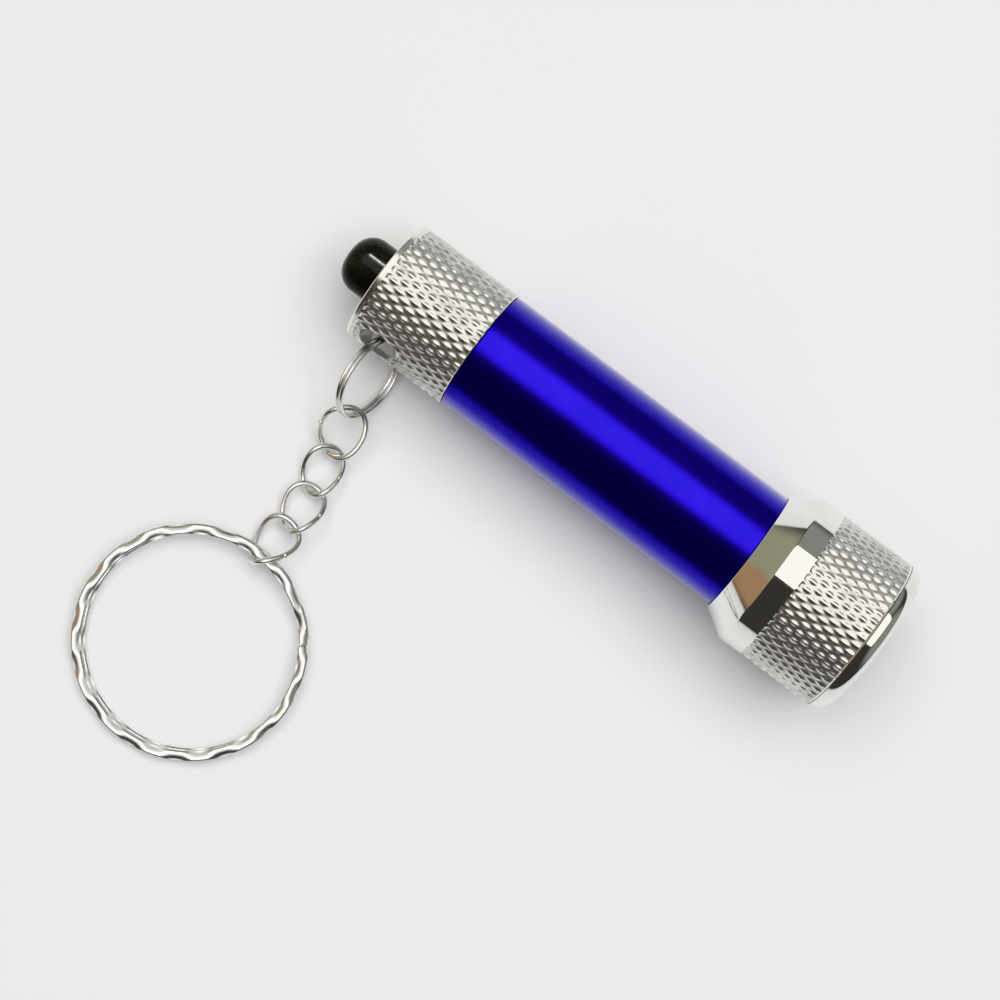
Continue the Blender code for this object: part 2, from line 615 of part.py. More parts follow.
def place_origin(root):
    """Move the model so that the origin is below the middle of its box."""
    bpy.context.view_layer.update()
    graph = bpy.context.evaluated_depsgraph_get()
    points = []
    for item in bpy.context.scene.objects:
        if item.type == "MESH" and not item.hide_render:
            shape = item.evaluated_get(graph).to_mesh()
            points += [item.matrix_world @ vertex.co for vertex in shape.vertices]
    low = [min(point[axis] for point in points) for axis in range(3)]
    high = [max(point[axis] for point in points) for axis in range(3)]
    root.location = (-(low[0] + high[0]) / 2, -(low[1] + high[1]) / 2, -low[2])


def main():
    """Build the whole object."""
    clear_scene()
    root = empty("root", None, Matrix())
    height = CAP_RADIUS * cos(LEAN) - CAP_RIM * sin(LEAN)
    lean = Matrix.Translation((0, 0, height)) @ Matrix.Rotation(-LEAN, 4, "Y")
    torch = empty("torch_axis", root, lean)
    head = empty("head_turn", torch, Matrix())
    cap = empty("cap_turn", torch, Matrix())
    button = empty("button_press", cap, Matrix())
    in_cap = Matrix.Translation((SLOT_X, 0, 0)) @ Matrix.Rotation(SLOT_ROLL, 4, "X")
    slot = empty("slot", cap, in_cap)

    build_tube(torch)
    build_tail_cap(cap, slot)
    build_tail_seal(torch)
    build_button(button)
    build_head(head)
    build_head_seal(torch)
    build_chain(root, slot, lean @ in_cap)
    place_origin(root)


main()
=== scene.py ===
"""Looks of a keychain flashlight on a short chain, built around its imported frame.

Every length is in metres. The flashlight's own axes have x along it from the tail
cap's rear face to the lens, y level, and z up and square to both. Pieces of the
flashlight are worked out there and then carried into the frame's axes. Chain and
rings have axes of their own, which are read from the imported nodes.
"""

import json
import logging
import math
from collections.abc import Sequence
from dataclasses import dataclass, field
from enum import Enum

import bmesh
import bpy
import numpy as np
from mathutils import Matrix


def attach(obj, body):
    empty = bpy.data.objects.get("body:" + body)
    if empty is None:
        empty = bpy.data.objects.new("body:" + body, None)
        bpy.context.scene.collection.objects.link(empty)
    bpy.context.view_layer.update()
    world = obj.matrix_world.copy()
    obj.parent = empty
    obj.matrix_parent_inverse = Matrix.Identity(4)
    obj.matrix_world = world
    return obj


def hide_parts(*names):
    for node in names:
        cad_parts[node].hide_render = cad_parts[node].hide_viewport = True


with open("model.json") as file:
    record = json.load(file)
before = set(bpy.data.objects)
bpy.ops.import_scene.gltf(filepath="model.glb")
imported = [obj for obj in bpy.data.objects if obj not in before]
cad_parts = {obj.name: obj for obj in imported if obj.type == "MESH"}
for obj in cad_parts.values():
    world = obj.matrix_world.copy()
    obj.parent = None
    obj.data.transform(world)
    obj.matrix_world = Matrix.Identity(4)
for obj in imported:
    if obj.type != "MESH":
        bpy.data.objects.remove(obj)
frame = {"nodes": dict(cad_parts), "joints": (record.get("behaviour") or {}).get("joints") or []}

Array = np.ndarray
Colour = tuple[float, float, float]
MM = 0.001
MICRON = 0.000001
TURN = 2 * math.pi
FINE_EDGE = 0.06 * MM
CUT_MARGIN = 0.02 * MM
SHARP_EDGE = 40.0
ROUND_STEPS = 96
UP = np.array([0.0, 0.0, 1.0])
log = logging.getLogger("flashlight")


class Body(Enum):
    """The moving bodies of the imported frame."""

    TORCH = "torch"
    HEAD_SEAL = "head_seal"
    HEAD = "head"
    CAP_SEAL = "cap_seal"
    CAP = "cap"
    BUTTON = "button"
    SMALL_RING = "small_ring"
    KEY_RING = "key_ring"


class Slot(Enum):
    """The record's material slots."""

    TUBE = "tube_anodised"
    HEAD = "head_chrome"
    BEZEL = "bezel_chrome"
    CAP = "cap_knurled"
    BUTTON = "button_black"
    CHAIN = "chain_steel"
    KEY_RING = "key_ring_steel"
    LENS = "lens_clear"
    LED = "led_epoxy"
    REFLECTOR = "reflector_bright"
    BOARD = "board_green"
    RESISTOR = "resistor_body"
    CELL = "cell_steel"
    SLEEVE = "sleeve_film"
    CONTACT = "contact_metal"
    SWITCH = "switch_plastic"
    SEAL = "seal_rubber"


class Run(Enum):
    """Which way fine lines run on a metal surface."""

    ALONG = "along"
    ROUND = "round"
    NONE = "none"


# --------------------------------------------------------------------------
# Axes and measuring


@dataclass(frozen=True)
class Axes:
    """A set of axes in the frame: an origin and a matrix whose columns are x, y, z."""

    origin: Array
    turn: Array

    def outward(self, points: Array) -> Array:
        """Return points given on these axes in the frame: origin + turn times p."""
        return self.origin + points @ self.turn.T

    def inward(self, points: Array) -> Array:
        """Return points of the frame on these axes."""
        return (points - self.origin) @ self.turn

    def moved(self, offset: Sequence[float], tilt: Array | None = None) -> "Axes":
        """Return axes shifted by an offset on these axes, and turned by tilt.

        Args:
            offset: The new origin, on these axes.
            tilt: A 3 x 3 turn that is applied after these axes' own.

        Returns:
            The new axes.
        """
        turn = self.turn if tilt is None else self.turn @ tilt
        return Axes(self.outward(np.array(offset, float)), turn)


@dataclass(frozen=True)
class Span:
    """Where a turned node lies: its two ends along x and its radii about its axis."""

    start: float
    end: float
    inner: float
    outer: float
    centre: tuple[float, float]


def unit(vectors: Array) -> Array:
    """Return vectors divided by their lengths."""
    return vectors / np.linalg.norm(vectors, axis=-1, keepdims=True)


def turn_about(axis: str, degrees: float) -> Array:
    """Return the 3 x 3 turn about one of the axes X, Y and Z."""
    return np.array(Matrix.Rotation(math.radians(degrees), 3, axis))


def node_points(name: str) -> Array:
    """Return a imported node's corner points, each once."""
    mesh = frame["nodes"][name].data
    flat = np.empty(len(mesh.vertices) * 3, np.float32)
    mesh.vertices.foreach_get("co", flat)
    return np.unique(np.round(flat.reshape(-1, 3).astype(float), 7), axis=0)


def joint(name: str) -> dict:
    """Return one of the frame's joints."""
    return next(j for j in frame["joints"] if j["name"] == name)


def torch_axes() -> Axes:
    """Return the flashlight's axes, from the tail cap's joint."""
    cap = joint("cap_turn")
    along = unit(-np.array(cap["axis"], float))
    level = unit(np.cross(UP, along))
    return Axes(np.array(cap["pos_m"], float), np.stack([along, level, np.cross(along, level)], 1))


def span(axes: Axes, name: str, centre: tuple[float, float] = (0.0, 0.0)) -> Span:
    """Measure a node that is turned about an axis parallel to x.

    Args:
        axes: The flashlight's axes.
        name: The node.
        centre: Where its own axis passes, as (y, z).

    Returns:
        The node's span.
    """
    points = axes.inward(node_points(name))
    radii = np.hypot(points[:, 1] - centre[0], points[:, 2] - centre[1])
    return Span(points[:, 0].min(), points[:, 0].max(), radii.min(), radii.max(), centre)


# --------------------------------------------------------------------------
# Surfaces as grids of points


@dataclass
class Sheet:
    """A surface as a grid of points: rows along a profile, columns across it.

    marks holds a value for each point under a name, for a material to read.
    """

    points: Array
    wrap_rows: bool = False
    wrap_columns: bool = True
    marks: dict[str, Array] = field(default_factory=dict)

    def quads(self) -> Array:
        """Return the four corner numbers of each cell of the grid."""
        rows, columns = self.points.shape[:2]
        numbers = np.arange(rows * columns).reshape(rows, columns)
        if self.wrap_rows:
            numbers = np.vstack([numbers, numbers[:1]])
        if self.wrap_columns:
            numbers = np.hstack([numbers, numbers[:, :1]])
        near, far = numbers[:-1], numbers[1:]
        return np.stack([near[:, :-1], near[:, 1:], far[:, 1:], far[:, :-1]], -1).reshape(-1, 4)


def make_piece(name: str, sheets: Sequence[Sheet], sharp: float = SHARP_EDGE) -> bpy.types.Object:
    """Join sheets into one mesh object, welded, with its faces pointing outwards.

    Args:
        name: The piece's name.
        sheets: Its surfaces.
        sharp: Edges that turn by more than this many degrees are drawn sharp.

    Returns:
        The new object, at the origin.
    """
    starts = np.cumsum([0] + [s.points.shape[0] * s.points.shape[1] for s in sheets])
    points = np.vstack([s.points.reshape(-1, 3) for s in sheets])
    quads = np.vstack([s.quads() + start for s, start in zip(sheets, starts)])
    mesh = bpy.data.meshes.new(name)
    mesh.vertices.add(len(points))
    mesh.vertices.foreach_set("co", points.astype(np.float32).ravel())
    mesh.loops.add(quads.size)
    mesh.loops.foreach_set("vertex_index", quads.astype(np.int32).ravel())
    mesh.polygons.add(len(quads))
    mesh.polygons.foreach_set("loop_start", np.arange(0, quads.size, 4, dtype=np.int32))
    mesh.update(calc_edges=True)
    for mark in {key for s in sheets for key in s.marks}:
        values = [s.marks.get(mark, np.zeros(s.points.shape[:2])).ravel() for s in sheets]
        layer = mesh.attributes.new(mark, "FLOAT", "POINT")
        layer.data.foreach_set("value", np.concatenate(values).astype(np.float32))
    weld_outward(mesh)
    mesh.shade_smooth()
    mesh.set_sharp_from_angle(angle=math.radians(sharp))
    piece = bpy.data.objects.new(name, mesh)
    bpy.context.scene.collection.objects.link(piece)
    return piece


def weld_outward(mesh: bpy.types.Mesh) -> None:
    """Merge a mesh's meeting points and turn its faces outwards."""
    work = bmesh.new()
    work.from_mesh(mesh)
    bmesh.ops.remove_doubles(work, verts=work.verts, dist=0.1 * MICRON)
    bmesh.ops.recalc_face_normals(work, faces=work.faces)
    work.to_mesh(mesh)
    work.free()


def rounded(corners: Sequence[tuple[float, float, float]], closed: bool, steps: int = 4) -> Array:
    """Draw an outline whose corners are rounded.

    Each corner (x, radius, size) becomes the curve (1-t)^2 a + 2t(1-t) corner + t^2 b,
    where a and b lie size before and after it. A size of 0 leaves it as a point.

    Args:
        corners: The corners in order.
        closed: Whether the last corner runs on to the first.
        steps: The number of stretches in a rounded corner.

    Returns:
        The outline's points, as rows of x and radius.
    """
    at = np.array([corner[:2] for corner in corners], float)
    drawn = []
    for i, (x, radius, size) in enumerate(corners):
        if size == 0 or not closed and i in (0, len(corners) - 1):
            drawn.append(np.array([[x, radius]]))
            continue
        ways = [at[i - 1] - at[i], at[(i + 1) % len(at)] - at[i]]
        reach = [min(size, 0.48 * np.linalg.norm(way)) for way in ways]
        before, after = (at[i] + unit(way) * r for way, r in zip(ways, reach))
        t = np.linspace(0, 1, steps + 1)[:, None]
        drawn.append((1 - t) ** 2 * before + 2 * t * (1 - t) * at[i] + t ** 2 * after)
    return np.vstack(drawn)


@dataclass(frozen=True)
class Knurl:
    """A diamond knurl on a cylinder: two families of helical grooves that cross.

    The families' phases are count * angle / turn + x / period, and the same with a
    minus. A groove runs where a phase is a whole number. With t the distance to it,
    each groove is exp(-(t / width)^2), and both together are 1 - (1 - g1)(1 - g2).
    """

    start: float
    end: float
    count: int
    period: float
    depth: float
    width: float = 0.30
    fade: float = 0.1 * MM
    samples: int = 10

    def stations(self) -> list[float]:
        """Return the rows' places along x, in step with the lattice."""
        step = self.period / self.samples
        return [self.start + step * i for i in range(int((self.end - self.start) / step) + 1)]

    def grooves(self, x: Array, angle: Array) -> Array:
        """Return how far into a groove each point is: 0 on a diamond, 1 at the bottom."""
        u = self.count * angle / TURN
        v = (x - self.start) / self.period
        plain = 1.0
        for phase in (u + v, u - v):
            t = np.abs(phase - np.round(phase))
            plain = plain * (1 - np.exp(-((t / self.width) ** 2)))
        return (1 - plain) * self.worked(x)

    def worked(self, x: Array) -> Array:
        """Return 1 where the surface is knurled, falling to 0 at both ends."""
        return np.clip(np.minimum(x - self.start, self.end - x) / self.fade, 0, 1)

    def relief(self, x: Array, angle: Array) -> Array:
        """Return the depth cut away at each point."""
        return self.depth * self.grooves(x, angle)


@dataclass(frozen=True)
class Thread:
    """A right-hand screw thread: depth (1 - cos phase) / 2 along x / pitch + angle / turn."""

    start: float
    end: float
    pitch: float
    depth: float
    samples: int = 8

    def stations(self) -> list[float]:
        """Return the rows' places along x."""
        step = self.pitch / self.samples
        return [self.start + step * i for i in range(int((self.end - self.start) / step) + 1)]

    def relief(self, x: Array, angle: Array) -> Array:
        """Return the depth cut away at each point, running out at both ends."""
        wave = (1 - np.cos(TURN * (x / self.pitch + angle / TURN))) / 2
        ends = np.minimum(x - self.start, self.end - x) / self.pitch
        return self.depth * wave * np.clip(ends, 0, 1)


def turned(outline: Array, columns: int, axes: Axes, cuts: Sequence[tuple] = ()) -> Sheet:
    """Turn an outline about the x axis: (x, r sin a, r cos a).

    Args:
        outline: Rows of x and radius. One that doesn't start on the axis is closed.
        columns: The number of steps round the axis.
        axes: Where the axis is.
        cuts: Pairs of a Knurl or Thread and the radius above which it cuts.

    Returns:
        The surface. Its mark groove says how deep a knurl cuts it, and worked where.
    """
    angle = TURN * np.arange(columns) / columns
    x = np.repeat(outline[:, :1], columns, axis=1)
    radius = np.repeat(outline[:, 1:], columns, axis=1)
    groove, worked, depth = (np.zeros_like(x) for _ in range(3))
    for pattern, floor in cuts:
        reached = (radius > floor) & (x >= pattern.start) & (x <= pattern.end)
        depth += np.where(reached, pattern.relief(x, angle), 0)
        if isinstance(pattern, Knurl):
            groove += np.where(reached, pattern.grooves(x, angle), 0)
            worked += np.where(reached, pattern.worked(x), 0)
    radius = radius - depth
    points = np.stack([x, radius * np.sin(angle), radius * np.cos(angle)], -1)
    ring = outline[0, 1] > 0 or outline[-1, 1] > 0
    marks = {"groove": groove, "worked": worked} if cuts else {}
    return Sheet(axes.outward(points), wrap_rows=ring, marks=marks)


def swept(path: Array, side: Array, up: Array, section: Array, closed: bool) -> Sheet:
    """Carry a section along a path: path + u side + v up.

    Args:
        path: The path's points.
        side: The section's u direction at each of them.
        up: The section's v direction at each of them.
        section: The section's (u, v) points, one outline or one for each path point.
        closed: Whether the path's end meets its start.

    Returns:
        The surface.
    """
    section = np.broadcast_to(section, (len(path), *section.shape[-2:]))
    points = (path[:, None] + side[:, None] * section[..., :1] + up[:, None] * section[..., 1:])
    return Sheet(points, wrap_rows=closed)


def wire_section(radius: float, sides: int) -> Array:
    """Return a round wire's section."""
    angle = TURN * np.arange(sides) / sides
    return radius * np.stack([np.cos(angle), np.sin(angle)], -1)


def o_ring(axes: Axes, x: float, radius: float, wire: float, sides: int = 12) -> Sheet:
    """Return a round rubber ring about the x axis."""
    around = wire_section(wire, sides)
    outline = np.stack([x + around[:, 0], radius + around[:, 1]], -1)
    return turned(outline, ROUND_STEPS, axes)


def end_shape(length: Array, radius: float) -> Array:
    """Return the share of a wire's thickness near its rounded ends.

    Within a radius of an end, at distance d from it, the share is
    sqrt(1 - (1 - d / radius)^2), a half ball's outline.
    """
    d = np.minimum(length, length[-1] - length) / radius
    return np.sqrt(1 - (1 - np.clip(d, 0, 1)) ** 2)


@dataclass(frozen=True)
class SplitCoil:
    """A split ring: a flat coil of two turns about z, climbing along a cosine.

    The first turn lies pitch / 2 below the middle and the second pitch / 2 above. The
    first one may also lie inwards by slack (1 - cos) / 2, most at half a turn. The coil
    stops short of two full turns by cut_back times the ramp.
    """

    radius: float
    pitch: float
    start: float
    ramp: float
    slack: float = 0.0
    steps: int = 220
    cut_back: float = 1.15

    def angles(self, end_size: float) -> Array:
        """Return the stations' angles, closer together at both rounded ends."""
        total = 2 * TURN - self.cut_back * self.ramp
        end = end_size / self.radius
        near = end * (1 - np.cos(np.linspace(0, math.pi / 2, 6)))
        middle = np.linspace(end, total - end, 2 * self.steps)
        return np.concatenate([near[:-1], middle, total - near[::-1][1:]])

    def path(self, angle: Array) -> tuple[Array, Array]:
        """Return the centreline's points and the outward directions."""
        climb = np.clip((angle - TURN + self.ramp) / self.ramp, 0, 1)
        height = self.pitch * ((1 - np.cos(math.pi * climb)) / 2 - 0.5)
        lower = np.clip(angle / (TURN - self.ramp), 0, 1)
        inset = self.slack * (1 - np.cos(TURN * lower)) / 2
        turn = self.start + angle
        out = np.stack([np.cos(turn), np.sin(turn), np.zeros_like(turn)], -1)
        path = out * (self.radius - inset)[:, None]
        path[:, 2] = height
        return path, out


# --------------------------------------------------------------------------
# Node trees and shared effects


@dataclass(frozen=True)
class Tree:
    """A node tree with short calls for adding nodes."""

    tree: bpy.types.NodeTree

    def feed(self, node: bpy.types.Node, inputs: dict) -> bpy.types.Node:
        """Set or link a node's inputs, by name or number, and return it."""
        for key, value in inputs.items():
            if isinstance(value, bpy.types.NodeSocket):
                self.tree.links.new(value, node.inputs[key])
            else:
                node.inputs[key].default_value = value
        return node

    def add(self, kind: str, inputs: dict | None = None, **settings: object) -> bpy.types.Node:
        """Add a shader node.

        Args:
            kind: The node's type without its ShaderNode prefix.
            inputs: A value or a socket for each input, by name or number.
            **settings: The node's own properties.

        Returns:
            The node.
        """
        node = self.tree.nodes.new("ShaderNode" + kind)
        for key, value in settings.items():
            setattr(node, key, value)
        return self.feed(node, inputs or {})

    def noise(self, vector: object, scale: object, detail: float = 2.0) -> object:
        """Return a noise texture's value at vector."""
        inputs = {"Vector": vector, "Scale": scale, "Detail": detail}
        return self.add("TexNoise", inputs).outputs["Fac"]

    def math(self, operation: str, a: object, b: object = 0.0, clamp: bool = False) -> object:
        """Return the result of a math operation on two values."""
        return self.add("Math", {0: a, 1: b}, operation=operation, use_clamp=clamp).outputs[0]

    def ramp(self, value: object, low: float, high: float, to_low: float = 0.0,
             to_high: float = 1.0) -> object:
        """Return value carried smoothly from low..high to to_low..to_high, and held there."""
        inputs = {"Value": value, "From Min": low, "From Max": high,
                  "To Min": to_low, "To Max": to_high}
        return self.add("MapRange", inputs, interpolation_type="SMOOTHSTEP").outputs["Result"]

    def level(self, value: object, low: float, high: float) -> object:
        """Return a 0 to 1 value as low to high."""
        inputs = {"Value": value, "To Min": low, "To Max": high}
        return self.add("MapRange", inputs).outputs["Result"]

    def blend(self, share: object, first: object, second: object) -> object:
        """Return first turning to second as share goes from 0 to 1."""
        colours = [c if isinstance(c, bpy.types.NodeSocket) else (*c, 1.0) for c in (first, second)]
        inputs = {0: share, 6: colours[0], 7: colours[1]}
        return self.add("Mix", inputs, data_type="RGBA").outputs[2]

    def scaled(self, vector: object, by: object) -> object:
        """Return a vector with each part multiplied."""
        return self.add("VectorMath", {0: vector, 1: by}, operation="MULTIPLY").outputs[0]

    def use(self, group: bpy.types.NodeTree, inputs: dict) -> bpy.types.Node:
        """Place a node group with its own values."""
        return self.feed(self.add("Group", node_tree=group), inputs)


def open_group(name: str, inputs: dict[str, str], outputs: Sequence[str]) -> tuple:
    """Start a node group.

    Args:
        name: The group's name.
        inputs: The socket type of each input, by name: VECTOR or FLOAT.
        outputs: The names of its outputs, which are all numbers.

    Returns:
        The group's tree, its input sockets by name and its output node.
    """
    group = bpy.data.node_groups.new(name, "ShaderNodeTree")
    kinds = {"VECTOR": "NodeSocketVector", "FLOAT": "NodeSocketFloat"}
    for label, kind in inputs.items():
        group.interface.new_socket(label, in_out="INPUT", socket_type=kinds[kind])
    for label in outputs:
        group.interface.new_socket(label, in_out="OUTPUT", socket_type="NodeSocketFloat")
    entry = group.nodes.new("NodeGroupInput")
    return Tree(group), entry.outputs, group.nodes.new("NodeGroupOutput")


def grain_group() -> bpy.types.NodeTree:
    """Return the grain group: broad blotches, and a grain twenty times finer."""
    tree, given, out = open_group("grain", {"Vector": "VECTOR", "Scale": "FLOAT"},
                                  ("Blotch", "Grain"))
    blotch = tree.noise(given["Vector"], given["Scale"], 3.0)
    fine = tree.noise(given["Vector"], tree.math("MULTIPLY", given["Scale"], 20.0), 2.0)
    tree.tree.links.new(tree.ramp(blotch, 0.3, 0.7), out.inputs["Blotch"])
    tree.tree.links.new(fine, out.inputs["Grain"])
    return tree.tree


def lines_group() -> bpy.types.NodeTree:
    """Return the lines group: noise drawn out along the axes that Squeeze makes small."""
    inputs = {"Vector": "VECTOR", "Squeeze": "VECTOR", "Scale": "FLOAT"}
    tree, given, out = open_group("fine_lines", inputs, ("Lines",))
    drawn = tree.scaled(given["Vector"], given["Squeeze"])
    tree.tree.links.new(tree.noise(drawn, given["Scale"], 4.0), out.inputs["Lines"])
    return tree.tree


def scratch_group() -> bpy.types.NodeTree:
    """Return the scratches group: two families of hairlines, each only in patches.

    A hairline is where noise that is drawn out one way crosses its middle value.
    """
    inputs = {"Vector": "VECTOR", "Scale": "FLOAT", "Width": "FLOAT"}
    tree, given, out = open_group("scratches", inputs, ("Mask",))
    total = 0.0
    for turn, shift in (((0.4, 0.3, 0.9), 0.0), ((-0.5, 0.2, -0.7), 0.07)):
        placed = tree.add("Mapping", {"Vector": given["Vector"], "Rotation": turn,
                                      "Location": (shift, shift, shift),
                                      "Scale": (0.06, 1.0, 1.0)}).outputs[0]
        value = tree.math("ABSOLUTE", tree.math("SUBTRACT", tree.noise(placed, given["Scale"]), 0.5))
        line = tree.math("SUBTRACT", 1.0, tree.math("DIVIDE", value, given["Width"]), clamp=True)
        patch = tree.noise(given["Vector"], tree.math("MULTIPLY", given["Scale"], 0.4))
        kept = tree.math("MULTIPLY", line, tree.ramp(patch, 0.52, 0.62))
        total = tree.math("MAXIMUM", total, kept)
    tree.tree.links.new(total, out.inputs["Mask"])
    return tree.tree


def groove_shade_group() -> bpy.types.NodeTree:
    """Return the groove-shade group: painted shade that darkens grooves by their depth, stronger in some
    patches than in others.
    """
    inputs = {"Vector": "VECTOR", "Groove": "FLOAT", "Scale": "FLOAT"}
    tree, given, out = open_group("painted_groove_shade", inputs, ("Mask",))
    deep = tree.math("POWER", given["Groove"], 2.0)
    patch = tree.ramp(tree.noise(given["Vector"], given["Scale"], 3.0), 0.3, 0.7, 0.45, 1.0)
    tree.tree.links.new(tree.math("MULTIPLY", deep, patch), out.inputs["Mask"])
    return tree.tree


@dataclass(frozen=True)
class Effects:
    """The shader groups that more than one finish uses, made once."""

    grain: bpy.types.NodeTree
    lines: bpy.types.NodeTree
    scratches: bpy.types.NodeTree
    groove_shade: bpy.types.NodeTree

    @classmethod
    def made(cls) -> "Effects":
        """Build the groups."""
        return cls(grain_group(), lines_group(), scratch_group(), groove_shade_group())


# --------------------------------------------------------------------------
# Finishes


@dataclass(frozen=True)
class Finish:
    """What every finish has: a name, a base colour and a second one in blotches.

    Grain and hairlines change the roughness between its two values, and stand out
    or in by the bump height.
    """

    name: str
    colour: Colour
    shade: Colour
    rough: tuple[float, float]
    blotch: float = 900.0
    bump: float = 0.4 * MICRON
    scratch_width: float = 0.010

    def start(self, effects: Effects, axes: Axes) -> tuple:
        """Make the material, its coordinates on the flashlight's axes and its grain.

        Args:
            effects: The shared shader groups.
            axes: The flashlight's axes.

        Returns:
            The material, its tree, the coordinate socket and the grain's two outputs.
        """
        material = bpy.data.materials.new(self.name)
        material.use_nodes = True
        tree = Tree(material.node_tree)
        here = tree.add("TexCoord").outputs["Object"]
        turn = Matrix(axes.turn.T.tolist())
        offset = -(axes.turn.T @ axes.origin)
        placed = tree.add("Mapping", {"Vector": here, "Location": offset.tolist(),
                                      "Rotation": turn.to_euler()})
        where = placed.outputs[0]
        grain = tree.use(effects.grain, {"Vector": where, "Scale": self.blotch}).outputs
        return material, tree, where, grain

    def hairlines(self, effects: Effects, tree: Tree, here: object, scale: float) -> object:
        """Return the mask of this finish's hairline scratches."""
        inputs = {"Vector": here, "Scale": scale, "Width": self.scratch_width}
        return tree.use(effects.scratches, inputs).outputs["Mask"]

    def shader(self, tree: Tree) -> bpy.types.Node:
        """Return the material's own Principled shader."""
        return tree.tree.nodes["Principled BSDF"]

    def relief(self, tree: Tree, height: object) -> object:
        """Return a normal bent by a height of 0 to 1 times the bump."""
        inputs = {"Height": height, "Distance": self.bump, "Strength": 1.0}
        return tree.add("Bump", inputs).outputs["Normal"]


@dataclass(frozen=True)
class Metal(Finish):
    """Bare, plated or anodised metal."""

    coat: float = 0.0
    coat_refraction: float = 1.5
    run: Run = Run.NONE
    line_scale: float = 9000.0
    line_share: float = 0.5
    # Colour of the painted shade mixed into grooves by their depth; None leaves the grooves unshaded.
    groove_shade: Colour | None = None
    worked_rough: tuple[float, float] = (0.24, 0.34)

    def made(self, effects: Effects, axes: Axes) -> bpy.types.Material:
        """Build the material.

        Args:
            effects: The shared shader groups.
            axes: The flashlight's axes, which its fine lines follow.

        Returns:
            The material.
        """
        material, tree, here, grain = self.start(effects, axes)
        squeeze = {Run.ALONG: (0.02, 1, 1), Run.ROUND: (1, 0.03, 0.03), Run.NONE: (1, 1, 1)}
        lines = tree.use(effects.lines, {"Vector": here, "Squeeze": squeeze[self.run],
                                         "Scale": self.line_scale}).outputs["Lines"]
        marks = self.hairlines(effects, tree, here, 700.0)
        colour = tree.blend(grain["Blotch"], self.colour, self.shade)
        spread = tree.math("MULTIPLY", tree.math("SUBTRACT", lines, 0.5), self.line_share)
        uneven = tree.math("ADD", tree.math("ADD", grain["Grain"], spread),
                           tree.math("MULTIPLY", marks, 0.5), clamp=True)
        rough = tree.level(uneven, *self.rough)
        # Painted shade: the colour turns towards the groove-shade colour where the groove mark is deep, in
        # patches, and the same mask adds roughness.
        if self.groove_shade:
            depth = tree.add("Attribute", attribute_name="groove").outputs["Fac"]
            groove_shading = tree.use(effects.groove_shade, {"Vector": here, "Groove": depth,
                                           "Scale": self.blotch}).outputs["Mask"]
            colour = tree.blend(groove_shading, colour, self.groove_shade)
            worked = tree.add("Attribute", attribute_name="worked").outputs["Fac"]
            struck = tree.math("ADD", tree.level(uneven, *self.worked_rough),
                               tree.math("MULTIPLY", groove_shading, 0.2))
            inputs = {0: worked, 2: rough, 3: struck}
            rough = tree.add("Mix", inputs, data_type="FLOAT").outputs[0]
        height = tree.math("ADD", tree.math("MULTIPLY", lines, self.line_share),
                           tree.math("ADD", tree.math("MULTIPLY", grain["Grain"], 0.3),
                                     tree.math("MULTIPLY", marks, -1.0)))
        tree.feed(self.shader(tree), {
            "Base Color": colour, "Metallic": 1.0, "Roughness": rough,
            "Normal": self.relief(tree, height), "Coat Weight": self.coat,
            "Coat Roughness": self.rough[1], "Coat IOR": self.coat_refraction})
        return material


@dataclass(frozen=True)
class Plastic(Finish):
    """Moulded plastic, rubber, film or paint: not metal, with a fine grain."""

    dust: float = 0.0
    gloss: float = 0.5

    def made(self, effects: Effects, axes: Axes) -> bpy.types.Material:
        """Build the material.

        Args:
            effects: The shared shader groups.
            axes: The flashlight's axes.

        Returns:
            The material.
        """
        material, tree, here, grain = self.start(effects, axes)
        marks = self.hairlines(effects, tree, here, 900.0)
        colour = tree.blend(grain["Blotch"], self.colour, self.shade)
        if self.dust:
            specks = tree.ramp(tree.noise(here, 14000.0, 1.0), 0.66, 0.72, 0.0, self.dust)
            colour = tree.blend(specks, colour, (0.45, 0.44, 0.42))
        uneven = tree.math("ADD", grain["Grain"], tree.math("MULTIPLY", marks, 0.6), clamp=True)
        height = tree.math("SUBTRACT", grain["Grain"], tree.math("MULTIPLY", marks, 0.7))
        tree.feed(self.shader(tree), {
            "Base Color": colour, "Roughness": tree.level(uneven, *self.rough),
            "Normal": self.relief(tree, height), "Specular IOR Level": self.gloss})
        return material


@dataclass(frozen=True)
class Clear(Finish):
    """Clear acrylic or epoxy with faint smears. It lets lamps' light through."""

    refraction: float = 1.49

    def made(self, effects: Effects, axes: Axes) -> bpy.types.Material:
        """Build the material.

        Args:
            effects: The shared shader groups.
            axes: The flashlight's axes.

        Returns:
            The material.
        """
        material, tree, here, grain = self.start(effects, axes)
        marks = self.hairlines(effects, tree, here, 500.0)
        uneven = tree.math("ADD", tree.math("MULTIPLY", grain["Blotch"], 0.5), marks, clamp=True)
        shader = tree.feed(self.shader(tree), {
            "Base Color": tree.blend(grain["Blotch"], self.colour, self.shade),
            "Roughness": tree.level(uneven, *self.rough),
            "Normal": self.relief(tree, tree.math("SUBTRACT", grain["Grain"], marks)),
            "Transmission Weight": 1.0, "IOR": self.refraction})
        shadow = tree.add("LightPath").outputs["Is Shadow Ray"]
        tint = tree.add("BsdfTransparent", {"Color": (*self.colour, 1.0)}).outputs[0]
        both = tree.add("MixShader", {0: shadow, 1: shader.outputs[0], 2: tint})
        tree.tree.links.new(both.outputs[0], tree.tree.nodes["Material Output"].inputs["Surface"])
        return material


